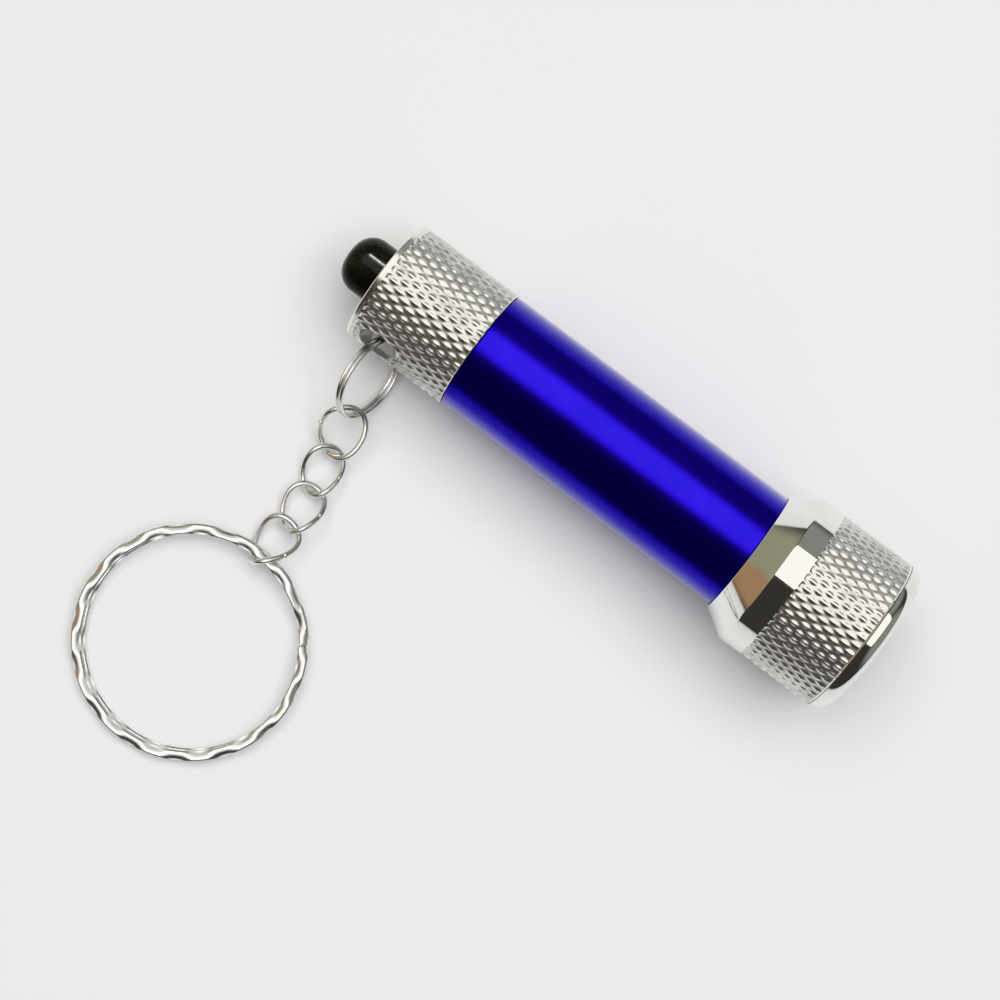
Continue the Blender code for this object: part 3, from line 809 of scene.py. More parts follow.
@dataclass(frozen=True)
class Board(Finish):
    """A circuit board: solder mask over copper, which stands out as paler tracks."""

    track: Colour = (0.06, 0.30, 0.12)

    def made(self, effects: Effects, axes: Axes) -> bpy.types.Material:
        """Build the material.

        Args:
            effects: The shared shader groups.
            axes: The flashlight's axes, across which the tracks run.

        Returns:
            The material.
        """
        material, tree, here, grain = self.start(effects, axes)
        cells = tree.add("TexVoronoi", {"Vector": tree.scaled(here, (0, 1, 1)), "Scale": 450.0},
                         feature="DISTANCE_TO_EDGE", distance="CHEBYCHEV")
        tracks = tree.ramp(cells.outputs["Distance"], 0.10, 0.13, 1.0, 0.0)
        mask = tree.blend(grain["Blotch"], self.colour, self.shade)
        tree.feed(self.shader(tree), {
            "Base Color": tree.blend(tracks, mask, self.track),
            "Roughness": tree.level(grain["Grain"], *self.rough),
            "Normal": self.relief(tree, tracks)})
        return material


CHROME = Metal("bright_chrome", (0.86, 0.86, 0.84), (0.80, 0.80, 0.78), (0.03, 0.09),
               blotch=300.0, bump=0.05 * MICRON, run=Run.ROUND, line_share=0.3)
# The head and the cap carry a groove-shade colour: painted shade in their knurl grooves.
HEAD_CHROME = Metal("head_chrome", (0.86, 0.86, 0.84), (0.80, 0.80, 0.78), (0.03, 0.09),
                    blotch=300.0, bump=0.05 * MICRON, groove_shade=(0.52, 0.51, 0.50))
KNURLED = Metal("knurled_chrome", (0.88, 0.88, 0.86), (0.83, 0.83, 0.81), (0.16, 0.26),
                blotch=500.0, bump=0.1 * MICRON, groove_shade=(0.52, 0.51, 0.50))
ANODISED = Metal("blue_anodised", (0.008, 0.0, 0.40), (0.011, 0.0, 0.45), (0.20, 0.28),
                 blotch=220.0, bump=0.12 * MICRON, coat=1.0, coat_refraction=1.34,
                 run=Run.ALONG, line_share=0.4)
CHAIN_STEEL = Metal("plated_wire", (0.86, 0.86, 0.84), (0.78, 0.78, 0.76), (0.16, 0.28),
                    blotch=500.0, bump=0.08 * MICRON)
RING_STEEL = Metal("plated_ring", (0.88, 0.88, 0.86), (0.78, 0.78, 0.76), (0.18, 0.28),
                   blotch=400.0, bump=0.08 * MICRON)
CONTACT = Metal("contact_brass", (0.80, 0.62, 0.34), (0.70, 0.52, 0.26), (0.16, 0.32),
                bump=0.2 * MICRON)
CELL_STEEL = Metal("cell_steel", (0.62, 0.62, 0.60), (0.56, 0.56, 0.54), (0.2, 0.34),
                   bump=0.2 * MICRON, run=Run.ROUND)
MIRROR = Metal("vacuum_aluminium", (0.90, 0.90, 0.91), (0.85, 0.85, 0.86), (0.05, 0.12),
               bump=0.05 * MICRON)
BLACK_CAP = Plastic("gloss_black", (0.010, 0.011, 0.010), (0.016, 0.017, 0.016), (0.10, 0.22),
                    blotch=400.0, bump=0.15 * MICRON, dust=0.25, gloss=0.2)
RUBBER = Plastic("black_rubber", (0.018, 0.018, 0.018), (0.03, 0.03, 0.03), (0.5, 0.75),
                 bump=1.5 * MICRON, dust=0.2)
FILM = Plastic("white_film", (0.80, 0.80, 0.77), (0.72, 0.72, 0.69), (0.35, 0.5),
               bump=1.0 * MICRON)
SWITCH_GREY = Plastic("switch_grey", (0.26, 0.27, 0.28), (0.22, 0.23, 0.24), (0.4, 0.6),
                      bump=1.0 * MICRON)
RESISTOR = Plastic("resistor_black", (0.02, 0.02, 0.025), (0.04, 0.04, 0.045), (0.3, 0.5),
                   bump=0.5 * MICRON)
PHOSPHOR = Plastic("phosphor", (0.85, 0.66, 0.08), (0.78, 0.58, 0.05), (0.5, 0.7),
                   bump=1.0 * MICRON)
ACRYLIC = Clear("clear_acrylic", (0.97, 0.985, 0.99), (0.95, 0.97, 0.98), (0.0, 0.06),
                blotch=150.0, bump=0.02 * MICRON, scratch_width=0.006)
EPOXY = Clear("led_epoxy", (0.97, 0.98, 1.0), (0.95, 0.97, 0.99), (0.0, 0.05),
              blotch=400.0, bump=0.02 * MICRON, scratch_width=0.003, refraction=1.53)
BOARD_GREEN = Board("board_green", (0.015, 0.12, 0.05), (0.02, 0.15, 0.06), (0.25, 0.4),
                    bump=6 * MICRON)


# --------------------------------------------------------------------------
# Assemblies


@dataclass
class Assembly:
    """Pieces that belong together, and the finish that each of them gets."""

    axes: Axes
    wanted: list = field(default_factory=list)

    def put(self, piece: bpy.types.Object, body: str, slot: Slot, finish: Finish,
            *nodes: str) -> None:
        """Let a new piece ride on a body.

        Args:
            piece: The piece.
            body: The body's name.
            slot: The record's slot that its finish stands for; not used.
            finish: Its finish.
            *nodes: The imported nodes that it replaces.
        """
        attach(piece, body)
        if nodes:
            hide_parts(*nodes)
        self.wanted.append((piece, finish))
        faces = len(piece.data.polygons)
        log.info("%s rides on %s, %d faces", piece.name, body, faces)

    def seal(self, name: str, node: str, body: Body) -> None:
        """Build a round rubber ring in a packed seal's place, and let it ride on a body."""
        ring = span(self.axes, node)
        wire = (ring.end - ring.start) / 2
        sheet = o_ring(self.axes, (ring.start + ring.end) / 2, ring.outer - wire, wire)
        self.put(make_piece(name, [sheet]), body.value, Slot.SEAL, RUBBER, node)

    def keep(self, finish: Finish, *nodes: str) -> None:
        """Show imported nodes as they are, in a finish."""
        for node in nodes:
            self.wanted.append((frame["nodes"][node], finish))

    def dress(self, wardrobe: "Wardrobe") -> None:
        """Give each piece its material."""
        for piece, finish in self.wanted:
            material = wardrobe.material(finish)
            if piece.material_slots:
                for place in piece.material_slots:
                    place.material = material
            else:
                piece.data.materials.append(material)


@dataclass
class Wardrobe:
    """The materials, each made when it is first asked for."""

    effects: Effects
    axes: Axes
    ready: dict[str, bpy.types.Material] = field(default_factory=dict)

    def material(self, finish: Finish) -> bpy.types.Material:
        """Return a finish's material."""
        if finish.name not in self.ready:
            self.ready[finish.name] = finish.made(self.effects, self.axes)
        return self.ready[finish.name]


@dataclass
class BatteryTube(Assembly):
    """The anodised tube with a male thread at its front, its film sleeve and cells."""

    edge: float = 0.12 * MM
    thread_pitch: float = 0.75 * MM
    thread_depth: float = 0.16 * MM
    thread_end: float = 0.9 * MM
    thread_length: float = 4.1 * MM
    columns: int = 144
    crimp: float = 0.35 * MM

    def build(self) -> None:
        """Build the tube, the sleeve and the cells."""
        tube = span(self.axes, "body_tube")
        stop = tube.end - self.thread_end
        thread = Thread(stop - self.thread_length, stop, self.thread_pitch, self.thread_depth)
        outline = rounded([(tube.start, tube.inner, self.edge), (tube.start, tube.outer, self.edge),
                           *((x, tube.outer, 0) for x in thread.stations()),
                           (tube.end, tube.outer, self.edge), (tube.end, tube.inner, self.edge)],
                          closed=True)
        wall = tube.outer - self.thread_depth
        sheet = turned(outline, self.columns, self.axes, [(thread, wall)])
        self.put(make_piece("anodised_tube", [sheet]), Body.TORCH.value, Slot.TUBE, ANODISED,
                 "body_tube")
        sleeve = span(self.axes, "battery_sleeve")
        outline = rounded([(sleeve.start, sleeve.inner, 0), (sleeve.start, sleeve.outer, 0),
                           (sleeve.end, sleeve.outer, 0), (sleeve.end, sleeve.inner, 0)], closed=True)
        self.put(make_piece("film_sleeve", [turned(outline, ROUND_STEPS, self.axes)]), Body.TORCH.value,
                 Slot.SLEEVE, FILM, "battery_sleeve")
        for number in range(1, 5):
            self.cell(f"cell_{number}")

    def cell(self, node: str) -> None:
        """Build a button cell: a pressed can whose rim is crimped over its narrower top.

        Args:
            node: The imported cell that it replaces.
        """
        can = span(self.axes, node)
        step = self.crimp
        outline = rounded([(can.start, 0, 0), (can.start, can.outer - 3 * step, 0.15 * MM),
                           (can.start + step, can.outer - 2 * step, 0.1 * MM),
                           (can.start + step, can.outer - step, 0.08 * MM),
                           (can.start + 0.7 * step, can.outer - 0.4 * step, 0.1 * MM),
                           (can.start + 1.4 * step, can.outer, 0.15 * MM),
                           (can.end, can.outer, 0.3 * MM), (can.end, 0, 0)], closed=False)
        self.put(make_piece("button_" + node, [turned(outline, ROUND_STEPS, self.axes)]), Body.TORCH.value,
                 Slot.CELL, CELL_STEEL, node)


@dataclass
class TailCap(Assembly):
    """The knurled cap with its lanyard slot and screw spigot, and the switch inside."""

    shoulder_gap: float = 0.05 * MM
    rim: float = 0.35 * MM
    rim_line: float = 0.50 * MM
    rim_line_half: float = 0.1 * MM
    rim_line_depth: float = 0.12 * MM
    bore: float = 3.25 * MM
    block: float = 6.95 * MM
    wall_bore: float = 4.9 * MM
    spigot_radius: float = 6.05 * MM
    groove_start: float = 0.35 * MM
    groove_width: float = 0.9 * MM
    groove_depth: float = 0.65 * MM
    thread_run_in: float = 0.3 * MM
    thread_run_out: float = 0.2 * MM
    thread_pitch: float = 0.75 * MM
    thread_depth: float = 0.2 * MM
    slot_half_width: float = 1.08 * MM
    slot_stretch: float = 2.6 * MM
    slot_chamfer: float = 0.12 * MM
    knurl_start: float = 0.66 * MM
    knurl_short: float = 0.06 * MM
    knurl_count: int = 41
    knurl_period: float = 2.0 * MM
    knurl_depth: float = 0.20 * MM

    def build(self) -> None:
        """Build the cap, its O-ring and what is kept inside it."""
        cap = span(self.axes, "tail_cap")
        shoulder = span(self.axes, "body_tube").start - self.shoulder_gap
        knurl = Knurl(self.knurl_start, shoulder - self.knurl_short, self.knurl_count,
                      self.knurl_period, self.knurl_depth)
        groove = shoulder + self.groove_start
        after = groove + self.groove_width
        thread = Thread(after + self.thread_run_in, cap.end - self.thread_run_out,
                        self.thread_pitch, self.thread_depth)
        bottom = self.spigot_radius - self.groove_depth
        fine, tiny = FINE_EDGE, CUT_MARGIN
        line, half = self.rim_line, self.rim_line_half
        outline = rounded([(0, self.bore, 0.15 * MM), (0, cap.outer, self.rim),
                           (line - half, cap.outer, tiny),
                           (line, cap.outer - self.rim_line_depth, tiny),
                           (line + half, cap.outer, tiny),
                           (knurl.start - tiny, cap.outer, 0),
                           *((x, cap.outer, 0) for x in knurl.stations()),
                           (shoulder, cap.outer, 0.1 * MM), (shoulder, self.spigot_radius, fine),
                           (groove, self.spigot_radius, fine), (groove, bottom, fine),
                           (after, bottom, fine), (after, self.spigot_radius, fine),
                           *((x, self.spigot_radius, 0) for x in thread.stations()),
                           (cap.end, self.spigot_radius, fine), (cap.end, self.wall_bore, fine),
                           (self.block, self.wall_bore, fine), (self.block, self.bore, fine)],
                          closed=True, steps=5)
        cuts = [(knurl, cap.outer - tiny), (thread, self.spigot_radius - tiny)]
        sheet = turned(outline, knurl.count * knurl.samples, self.axes, cuts)
        piece = make_piece("knurled_cap", [sheet])
        self.cut_slot(piece, cap.outer)
        self.put(piece, Body.CAP.value, Slot.CAP, KNURLED, "tail_cap")
        self.seal("tail_seal", "tail_o_ring", Body.CAP_SEAL)
        self.keep(SWITCH_GREY, "switch_housing")
        self.keep(BOARD_GREEN, "switch_board")
        self.keep(CONTACT, "retaining_ring", "contact_spring")

    def cut_slot(self, piece: bpy.types.Object, reach: float) -> None:
        """Mill the lanyard slot through the cap's flank, with its mouths flared.

        The cutter is a stadium whose half width grows by the chamfer at both mouths.

        Args:
            piece: The cap.
            reach: How far the cutter goes either way from the slot's middle.
        """
        slot = joint("small_ring_swing")
        along = self.axes.turn[:, 0]
        up = unit(np.array(slot["axis"], float))
        place = Axes(np.array(slot["pos_m"], float), np.stack([along, np.cross(up, along), up], 1))
        angle = TURN * np.arange(48) / 48
        mouth = math.sqrt(reach ** 2 - (np.linalg.norm(self.axes.inward(place.origin)[1:])) ** 2)
        rows = []
        for z, grown in ((-reach, 1), (-mouth, 0.6), (-0.8 * mouth, 0), (0.8 * mouth, 0),
                         (mouth, 0.6), (reach, 1)):
            half = self.slot_half_width + grown * self.slot_chamfer
            x = half * np.cos(angle) + np.sign(np.cos(angle)) * self.slot_stretch / 2
            rows.append(np.stack([x, half * np.sin(angle), np.full_like(x, z)], -1))
        ends = [np.broadcast_to(row.mean(0), row.shape) for row in (rows[0], rows[-1])]
        points = np.stack([ends[0], *rows, ends[1]])
        # Full groove marks on the cutter carry over to the slot's walls, which then take the painted
        # groove shade and look dark.
        marks = {"groove": np.ones(points.shape[:2]), "worked": np.ones(points.shape[:2])}
        carve(piece, make_piece("slot_cutter", [Sheet(place.outward(points), marks=marks)]))


def carve(piece: bpy.types.Object, cutter: bpy.types.Object) -> None:
    """Cut one object's shape out of another's mesh, and remove the cutter.

    Args:
        piece: The object to cut.
        cutter: The shape to take away.
    """
    modifier = piece.modifiers.new("cut", "BOOLEAN")
    modifier.operation = "DIFFERENCE"
    modifier.solver = "EXACT"
    modifier.object = cutter
    graph = bpy.context.evaluated_depsgraph_get()
    done = bpy.data.meshes.new_from_object(piece.evaluated_get(graph))
    piece.modifiers.clear()
    piece.data = done
    piece.data.set_sharp_from_angle(angle=math.radians(SHARP_EDGE))
    bpy.data.objects.remove(cutter)


@dataclass
class PushButton(Assembly):
    """The glossy black button at the tail, its stem and its spring."""

    dome: float = 2.3 * MM
    crown: float = 0.12 * MM
    flange_edge: float = 0.1 * MM
    flange: float = 0.8 * MM
    radius: float = 3.1 * MM

    def build(self) -> None:
        """Build the button: a shallow parabola at its end, then a quarter circle."""
        cap = span(self.axes, "push_button")
        flat = np.linspace(0, 1, 7)[:-1]
        bend = np.linspace(0, math.pi / 2, 24)
        reach = self.radius - self.dome
        crown = [(cap.start + self.crown * s ** 2, reach * s, 0) for s in flat]
        side = [(cap.start + self.crown + self.dome * (1 - math.cos(a)),
                 reach + self.dome * math.sin(a), 0) for a in bend]
        foot = cap.end - self.flange
        outline = rounded([*crown, *side, (foot, self.radius, self.flange_edge),
                           (foot, cap.outer, self.flange_edge), (cap.end, cap.outer, self.flange_edge),
                           (cap.end, 0, 0)], closed=False, steps=14)
        sheet = turned(outline, ROUND_STEPS, self.axes)
        self.put(make_piece("tail_button", [sheet]), Body.BUTTON.value, Slot.BUTTON, BLACK_CAP,
                 "push_button")
        self.keep(SWITCH_GREY, "switch_stem")
        self.keep(CONTACT, "switch_spring")


@dataclass
class Head(Assembly):
    """The plated head: shell, bezel, lens, reflector, LEDs and their board."""

    skirt_gap: float = 0.1 * MM
    rear_lip: float = 0.3 * MM
    cone: float = 2.9 * MM
    band: float = 2.4 * MM
    bore: float = 7.75 * MM
    seat: float = 51.35 * MM
    seal_from_edge: float = 1.5 * MM
    seal_width: float = 0.8 * MM
    seal_depth: float = 0.5 * MM
    knurl_count: int = 55
    knurl_period: float = 2.0 * MM
    knurl_depth: float = 0.20 * MM
    knurl_short: float = 0.05 * MM
    bezel_gap: float = 0.05 * MM
    bezel_land: float = 0.12 * MM
    bezel_flat: float = 7.45 * MM
    bezel_opening: float = 7.1 * MM
    lens_ease: float = 0.12 * MM
    led_flange: float = 1.0 * MM
    led_radius: float = 2.4 * MM
    frame_foot: float = 0.5 * MM
    frame_drop: float = 0.3 * MM
    frame_cup: float = 0.45 * MM
    hole: float = 2.52 * MM
    cup_floor: float = 1.0 * MM
    ridge_drop: float = 0.2 * MM

    def build(self) -> None:
        """Build the head's pieces."""
        self.shell()
        self.bezel()
        self.lens()
        self.seal("lens_seal", "lens_gasket", Body.HEAD)
        self.seal("head_seal_ring", "head_o_ring", Body.HEAD_SEAL)
        centres = [self.led(number) for number in range(1, 6)]
        self.reflector(centres)
        self.keep(BOARD_GREEN, "led_board")
        self.keep(RESISTOR, "board_resistor")
        self.keep(CONTACT, "front_spring")

    def shell(self) -> None:
        """Build the shell: a cone, a smooth band and a knurled barrel."""
        shell = span(self.axes, "head_shell")
        tube = span(self.axes, "body_tube").outer
        skirt = tube + self.skirt_gap
        full = shell.start + self.cone
        knurl = Knurl(full + self.band, shell.end - self.knurl_short, self.knurl_count,
                      self.knurl_period, self.knurl_depth)
        seal = shell.start + self.seal_from_edge
        after = seal + self.seal_width
        fine = FINE_EDGE
        outline = rounded([(shell.start, skirt, fine), (shell.start, tube + self.rear_lip, 0.08 * MM),
                           (full, shell.outer, 0.12 * MM),
                           (knurl.start - CUT_MARGIN, shell.outer, 0),
                           *((x, shell.outer, 0) for x in knurl.stations()),
                           (shell.end, shell.outer, fine), (shell.end, self.bore, fine),
                           (self.seat, self.bore, fine), (self.seat, skirt, fine),
                           (after, skirt, fine), (after, skirt + self.seal_depth, fine),
                           (seal, skirt + self.seal_depth, fine), (seal, skirt, fine)],
                          closed=True)
        sheet = turned(outline, knurl.count * knurl.samples, self.axes,
                       [(knurl, shell.outer - CUT_MARGIN)])
        self.put(make_piece("knurled_head", [sheet]), Body.HEAD.value, Slot.HEAD, HEAD_CHROME,
                 "head_shell")

    def bezel(self) -> None:
        """Build the polished bezel ring, whose lip is a quarter of an ellipse."""
        bezel = span(self.axes, "bezel_ring")
        lens = span(self.axes, "lens")
        start = span(self.axes, "head_shell").end + self.bezel_gap
        fine = FINE_EDGE
        bend = np.linspace(0, math.pi / 2, 22)
        long, deep = bezel.end - start - self.bezel_land, bezel.outer - self.bezel_flat
        lip = [(start + self.bezel_land + long * math.sin(a),
                self.bezel_flat + deep * math.cos(a), 0) for a in bend]
        outline = rounded([(start, bezel.outer, 0.03 * MM), *lip,
                           (bezel.end, self.bezel_opening, 0.2 * MM),
                           (bezel.start, self.bezel_opening, fine), (bezel.start, lens.outer, fine),
                           (start, lens.outer, fine)], closed=True, steps=10)
        self.put(make_piece("polished_bezel", [turned(outline, 160, self.axes)]), Body.HEAD.value,
                 Slot.BEZEL, CHROME, "bezel_ring")

    def lens(self) -> None:
        """Build the flat acrylic lens with eased edges."""
        lens, ease = span(self.axes, "lens"), self.lens_ease
        outline = rounded([(lens.start, 0, 0), (lens.start, lens.outer, ease),
                           (lens.end, lens.outer, ease), (lens.end, 0, 0)], closed=False)
        self.put(make_piece("clear_lens", [turned(outline, 128, self.axes)]), Body.HEAD.value,
                 Slot.LENS, ACRYLIC, "lens")

    def led(self, number: int) -> tuple[float, float]:
        """Build an LED: a clear domed body round a lead frame with a cup and its chip.

        Args:
            number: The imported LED's number.

        Returns:
            Where its own axis passes, as (y, z) on the flashlight's axes.
        """
        node = f"led_{number}"
        points = self.axes.inward(node_points(node))
        y, z = (points[:, 1:].min(0) + points[:, 1:].max(0)) / 2
        body = span(self.axes, node, (y, z))
        own = self.axes.moved((0, y, z))
        shoulder = body.end - self.led_radius
        bend = np.linspace(0, math.pi / 2, 14)[1:-1]
        dome = [(shoulder + self.led_radius * math.sin(a), self.led_radius * math.cos(a), 0)
                for a in bend]
        outline = rounded([(body.start, 0, 0), (body.start, body.outer, 0.1 * MM),
                           (body.start + self.led_flange, body.outer, 0.15 * MM),
                           (body.start + self.led_flange, self.led_radius, 0.1 * MM),
                           (shoulder, self.led_radius, 0), *dome, (body.end, 0, 0)], closed=False)
        self.put(make_piece(f"led_body_{number}", [turned(outline, 64, own)]), Body.HEAD.value,
                 Slot.LED, EPOXY, node)
        low, high, deep = body.start + self.frame_foot, shoulder - self.frame_drop, self.frame_cup
        cup = rounded([(low, 0, 0), (low, 0.45 * MM, 0.05 * MM), (high - deep, 0.55 * MM, 0.1 * MM),
                       (high, 1.0 * MM, 0.05 * MM), (high, 0.85 * MM, 0.05 * MM),
                       (high - deep, 0.4 * MM, 0.05 * MM), (high - deep, 0, 0)], closed=False)
        self.put(make_piece(f"led_frame_{number}", [turned(cup, 32, own)]), Body.HEAD.value,
                 Slot.REFLECTOR, MIRROR)
        base = high - deep + CUT_MARGIN
        chip = rounded([(base, 0, 0), (base, 0.36 * MM, 0.03 * MM),
                        (base + 0.22 * MM, 0.5 * MM, 0.1 * MM), (base + 0.3 * MM, 0, 0)], closed=False)
        self.put(make_piece(f"led_chip_{number}", [turned(chip, 32, own)]), Body.HEAD.value,
                 Slot.LED, PHOSPHOR)
        return y, z

    def reflector(self, centres: Sequence[tuple[float, float]]) -> None:
        """Build the reflector plate: five cups that meet along ridges between the LEDs.

        Each cup fills a fifth of the disc. From an LED's axis, a ray at angle f reaches
        the cup's edge at the nearest of the two sector sides and the outer circle. The
        cup's face rises from the hole to that edge as the square root of its share.

        Args:
            centres: The LEDs' axes, as (y, z).
        """
        plate = span(self.axes, "reflector")
        ring = math.hypot(*centres[0])
        half = math.pi / len(centres)
        corner = math.atan2(plate.outer * math.sin(half), plate.outer * math.cos(half) - ring)
        angle = np.concatenate([np.linspace(-corner, corner, 13)[:-1],
                                np.linspace(corner, TURN - corner, 29)[:-1]])
        along, across = np.cos(angle), np.sin(angle)
        to_circle = -ring * along + np.sqrt(plate.outer ** 2 - (ring * across) ** 2)
        sides = [np.sin(half) * along - np.cos(half) * across * s for s in (1, -1)]
        to_side = [np.where(way < -1e-9, -ring * math.sin(half) / np.minimum(way, -1e-9), np.inf)
                   for way in sides]
        edge = np.minimum(to_circle, np.minimum(*to_side))
        share = np.linspace(0, 1, 8)
        floor, top = plate.start + self.cup_floor, plate.end - self.ridge_drop
        sheets = []
        for y, z in centres:
            turn = math.atan2(y, z)
            out = np.array([0, math.sin(turn), math.cos(turn)])
            level = np.array([0, math.cos(turn), -math.sin(turn)])
            reach = self.hole + (edge - self.hole) * share[:, None]
            rise = floor + (top - floor) * np.sqrt(share)[:, None] * np.ones_like(edge)
            flat = np.stack([reach, reach], -1) * np.stack([along, across], -1)
            face = flat[..., :1] * out + flat[..., 1:] * level + out * ring
            front = face + np.array([1, 0, 0]) * rise[..., None]
            back = face + np.array([1, 0, 0]) * plate.start
            sheets += [Sheet(self.axes.outward(front)), Sheet(self.axes.outward(back)),
                       Sheet(self.axes.outward(np.stack([front[0], back[0]])))]
            wall = slice(0, 13)
            rim = np.stack([front[-1, wall], back[-1, wall]])
            sheets.append(Sheet(self.axes.outward(rim), wrap_columns=False))
        piece = make_piece("reflector_cups", sheets, 30)
        self.put(piece, Body.HEAD.value, Slot.REFLECTOR, MIRROR, "reflector")


@dataclass
class Chain(Assembly):
    """The small split ring in the cap's slot and four twisted links."""

    ring_tilt: float = 20.0
    ring_swing: float = 7.0
    ring_start: float = math.radians(100)
    ring_ramp: float = math.radians(35)
    ring_wire: float = 0.24 * MM
    link_wire: float = 0.33 * MM
    stations: int = 168
    bunching: float = 0.6
    seam: float = 0.022
    seam_depth: float = 0.3

    def build(self) -> None:
        """Build the small ring and the links."""
        self.small_ring()
        for number in range(1, 5):
            self.link(f"link_{number}")

    def small_ring(self) -> None:
        """Build the ring whose two turns pass through the slot."""
        slot = joint("small_ring_swing")
        along = self.axes.turn[:, 0]
        up = unit(np.array(slot["axis"], float))
        held = Axes(np.zeros(3), np.stack([along, np.cross(up, along), up], 1))
        turn = (held.turn @ turn_about("Z", self.ring_swing) @ turn_about("Y", -self.ring_tilt)
                @ turn_about("Y", 90))
        points = node_points("small_ring") @ turn
        low, high = points.min(0), points.max(0)
        coil = SplitCoil((high - low)[:2].mean() / 2 - self.ring_wire,
                         high[2] - low[2] - 2 * self.ring_wire, self.ring_start, self.ring_ramp)
        place = Axes((low + high) / 2 @ turn.T, turn)
        angle = coil.angles(self.ring_wire)
        path, out = coil.path(angle)
        size = end_shape(angle * coil.radius, self.ring_wire)[:, None, None]
        section = wire_section(self.ring_wire, 14)[None] * size
        sheet = swept(path, out, np.broadcast_to(UP, out.shape), section, closed=False)
        sheet.points = place.outward(sheet.points)
        self.put(make_piece("slot_ring", [sheet]), Body.SMALL_RING.value, Slot.CHAIN, CHAIN_STEEL,
                 "small_ring")

    def link(self, node: str) -> None:
        """Build a twisted link: (a cos t, b sin t, c sin 2t) on the node's own axes.

        Those axes are the main directions in which the node's points spread. The wire
        narrows at a seam in the middle of one side, where its two ends were closed.

        Args:
            node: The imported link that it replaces.
        """
        points = node_points(node)
        middle = points.mean(0)
        spread, ways = np.linalg.eigh(np.cov((points - middle).T))
        turn = ways[:, ::-1]
        if np.linalg.det(turn) < 0:
            turn[:, 2] *= -1
        own = (points - middle) @ turn
        size = (own.max(0) - own.min(0)) / 2 - self.link_wire
        hand = np.sign(np.prod(own, axis=1).sum())
        twist = hand * math.sqrt(max(2 * spread[0] - self.link_wire ** 2, 0))
        t = TURN * np.arange(self.stations) / self.stations
        t = t + self.bunching * np.sin(2 * t) / 2
        path = np.stack([size[0] * np.cos(t), size[1] * np.sin(t), twist * np.sin(2 * t)], -1)
        way = unit(np.stack([-size[0] * np.sin(t), size[1] * np.cos(t),
                             2 * twist * np.cos(2 * t)], -1))
        side = unit(np.cross(UP, way))
        closeness = (t - math.pi / 2) / self.seam
        wire = 1 - self.seam_depth * np.exp(-closeness ** 2)
        section = wire_section(self.link_wire, 16)[None] * wire[:, None, None]
        sheet = swept(path, side, np.cross(way, side), section, closed=True)
        sheet.points = Axes(middle, turn).outward(sheet.points)
        self.put(make_piece("chain_" + node, [sheet]), node, Slot.CHAIN, CHAIN_STEEL, node)


@dataclass
class KeyRing(Assembly):
    """The flat split ring, whose edges are struck with a row of shallow facets."""

    tilt: float = 2.9
    start: float = math.radians(66)
    ramp: float = math.radians(26)
    band: float = 1.1 * MM
    thick: float = 0.6 * MM
    facets: int = 15
    facet_depth: float = 0.19 * MM
    facet_share: float = 0.62
    facet_drop: float = 1.2
    oval: float = 0.7
    wave: float = 0.03 * MM
    slack: float = 0.30 * MM

    def build(self) -> None:
        """Build the ring."""
        turn = turn_about("X", self.tilt)
        points = node_points("key_ring") @ turn
        low, high = points.min(0), points.max(0)
        pitch = high[2] - low[2] - self.thick
        coil = SplitCoil((high - low)[:2].mean() / 2 - self.band / 2, pitch, self.start,
                         self.ramp, self.slack, steps=420)
        angle = coil.angles(self.thick / 2)
        path, out = coil.path(angle)
        section = self.section(angle)
        size = end_shape(angle * coil.radius, self.thick / 2)[:, None, None]
        sheet = swept(path, out, np.broadcast_to(UP, out.shape), section * size,
                      closed=False)
        sheet.points = Axes((low + high) / 2 @ turn.T, turn).outward(sheet.points)
        self.put(make_piece("split_key_ring", [sheet], 28), Body.KEY_RING.value, Slot.KEY_RING,
                 RING_STEEL, "key_ring")

    def section(self, angle: Array) -> Array:
        """Return the band's section at each station.

        The band is a squared oval: sign(cos) |cos|^oval across and the same with sin. Its
        outer edge is struck flat at each facet and its inner edge between them, by
        facet_depth (1 - s^2), where s runs from -1 to 1 over a facet.

        Args:
            angle: The stations' angles.

        Returns:
            An outline for each station.
        """
        around = TURN * np.arange(20) / 20
        c, s = np.cos(around), np.sin(around)
        u = self.band / 2 * np.sign(c) * np.abs(c) ** self.oval
        v = self.thick / 2 * np.sign(s) * np.abs(s) ** self.oval
        place = (self.facets * (self.start + angle) / TURN) % 1
        dents = []
        for shift in (0.0, 0.5):
            within = 2 * ((place + shift) % 1) - 1
            dents.append(np.clip(1 - (within / self.facet_share) ** 2, 0, 1))
        outer = np.clip(c + 0.4, 0, 1) * np.clip(s + 0.3, 0, 1) * dents[0][:, None]
        inner = np.clip(-c + 0.3, 0, 1) * np.clip(s + 0.1, 0, 1) * dents[1][:, None]
        shift = self.wave * (dents[1] - 0.5)[:, None]
        return np.stack([u - self.facet_depth * (0.5 * outer - 0.4 * inner) + shift * np.abs(c),
                         v - self.facet_drop * self.facet_depth * (outer + inner)], -1)


# --------------------------------------------------------------------------
# Studio


@dataclass(frozen=True)
class Glow:
    """A paler part of the room: its direction, where it fades in and out, its colour."""

    direction: tuple[float, float, float]
    fades: tuple[float, float]
    colour: Colour


ROOM_GLOWS = (Glow((0.0, 0.88, 0.47), (0.84, 0.97), (0.30, 0.30, 0.28)),
              Glow((-0.92, 0.15, 0.35), (0.70, 0.95), (0.36, 0.36, 0.27)),
              Glow((-0.80, -0.50, 0.33), (0.90, 0.975), (0.42, 0.27, 0.17)),
              Glow((0.90, 0.20, 0.40), (0.75, 0.95), (0.30, 0.30, 0.27)))


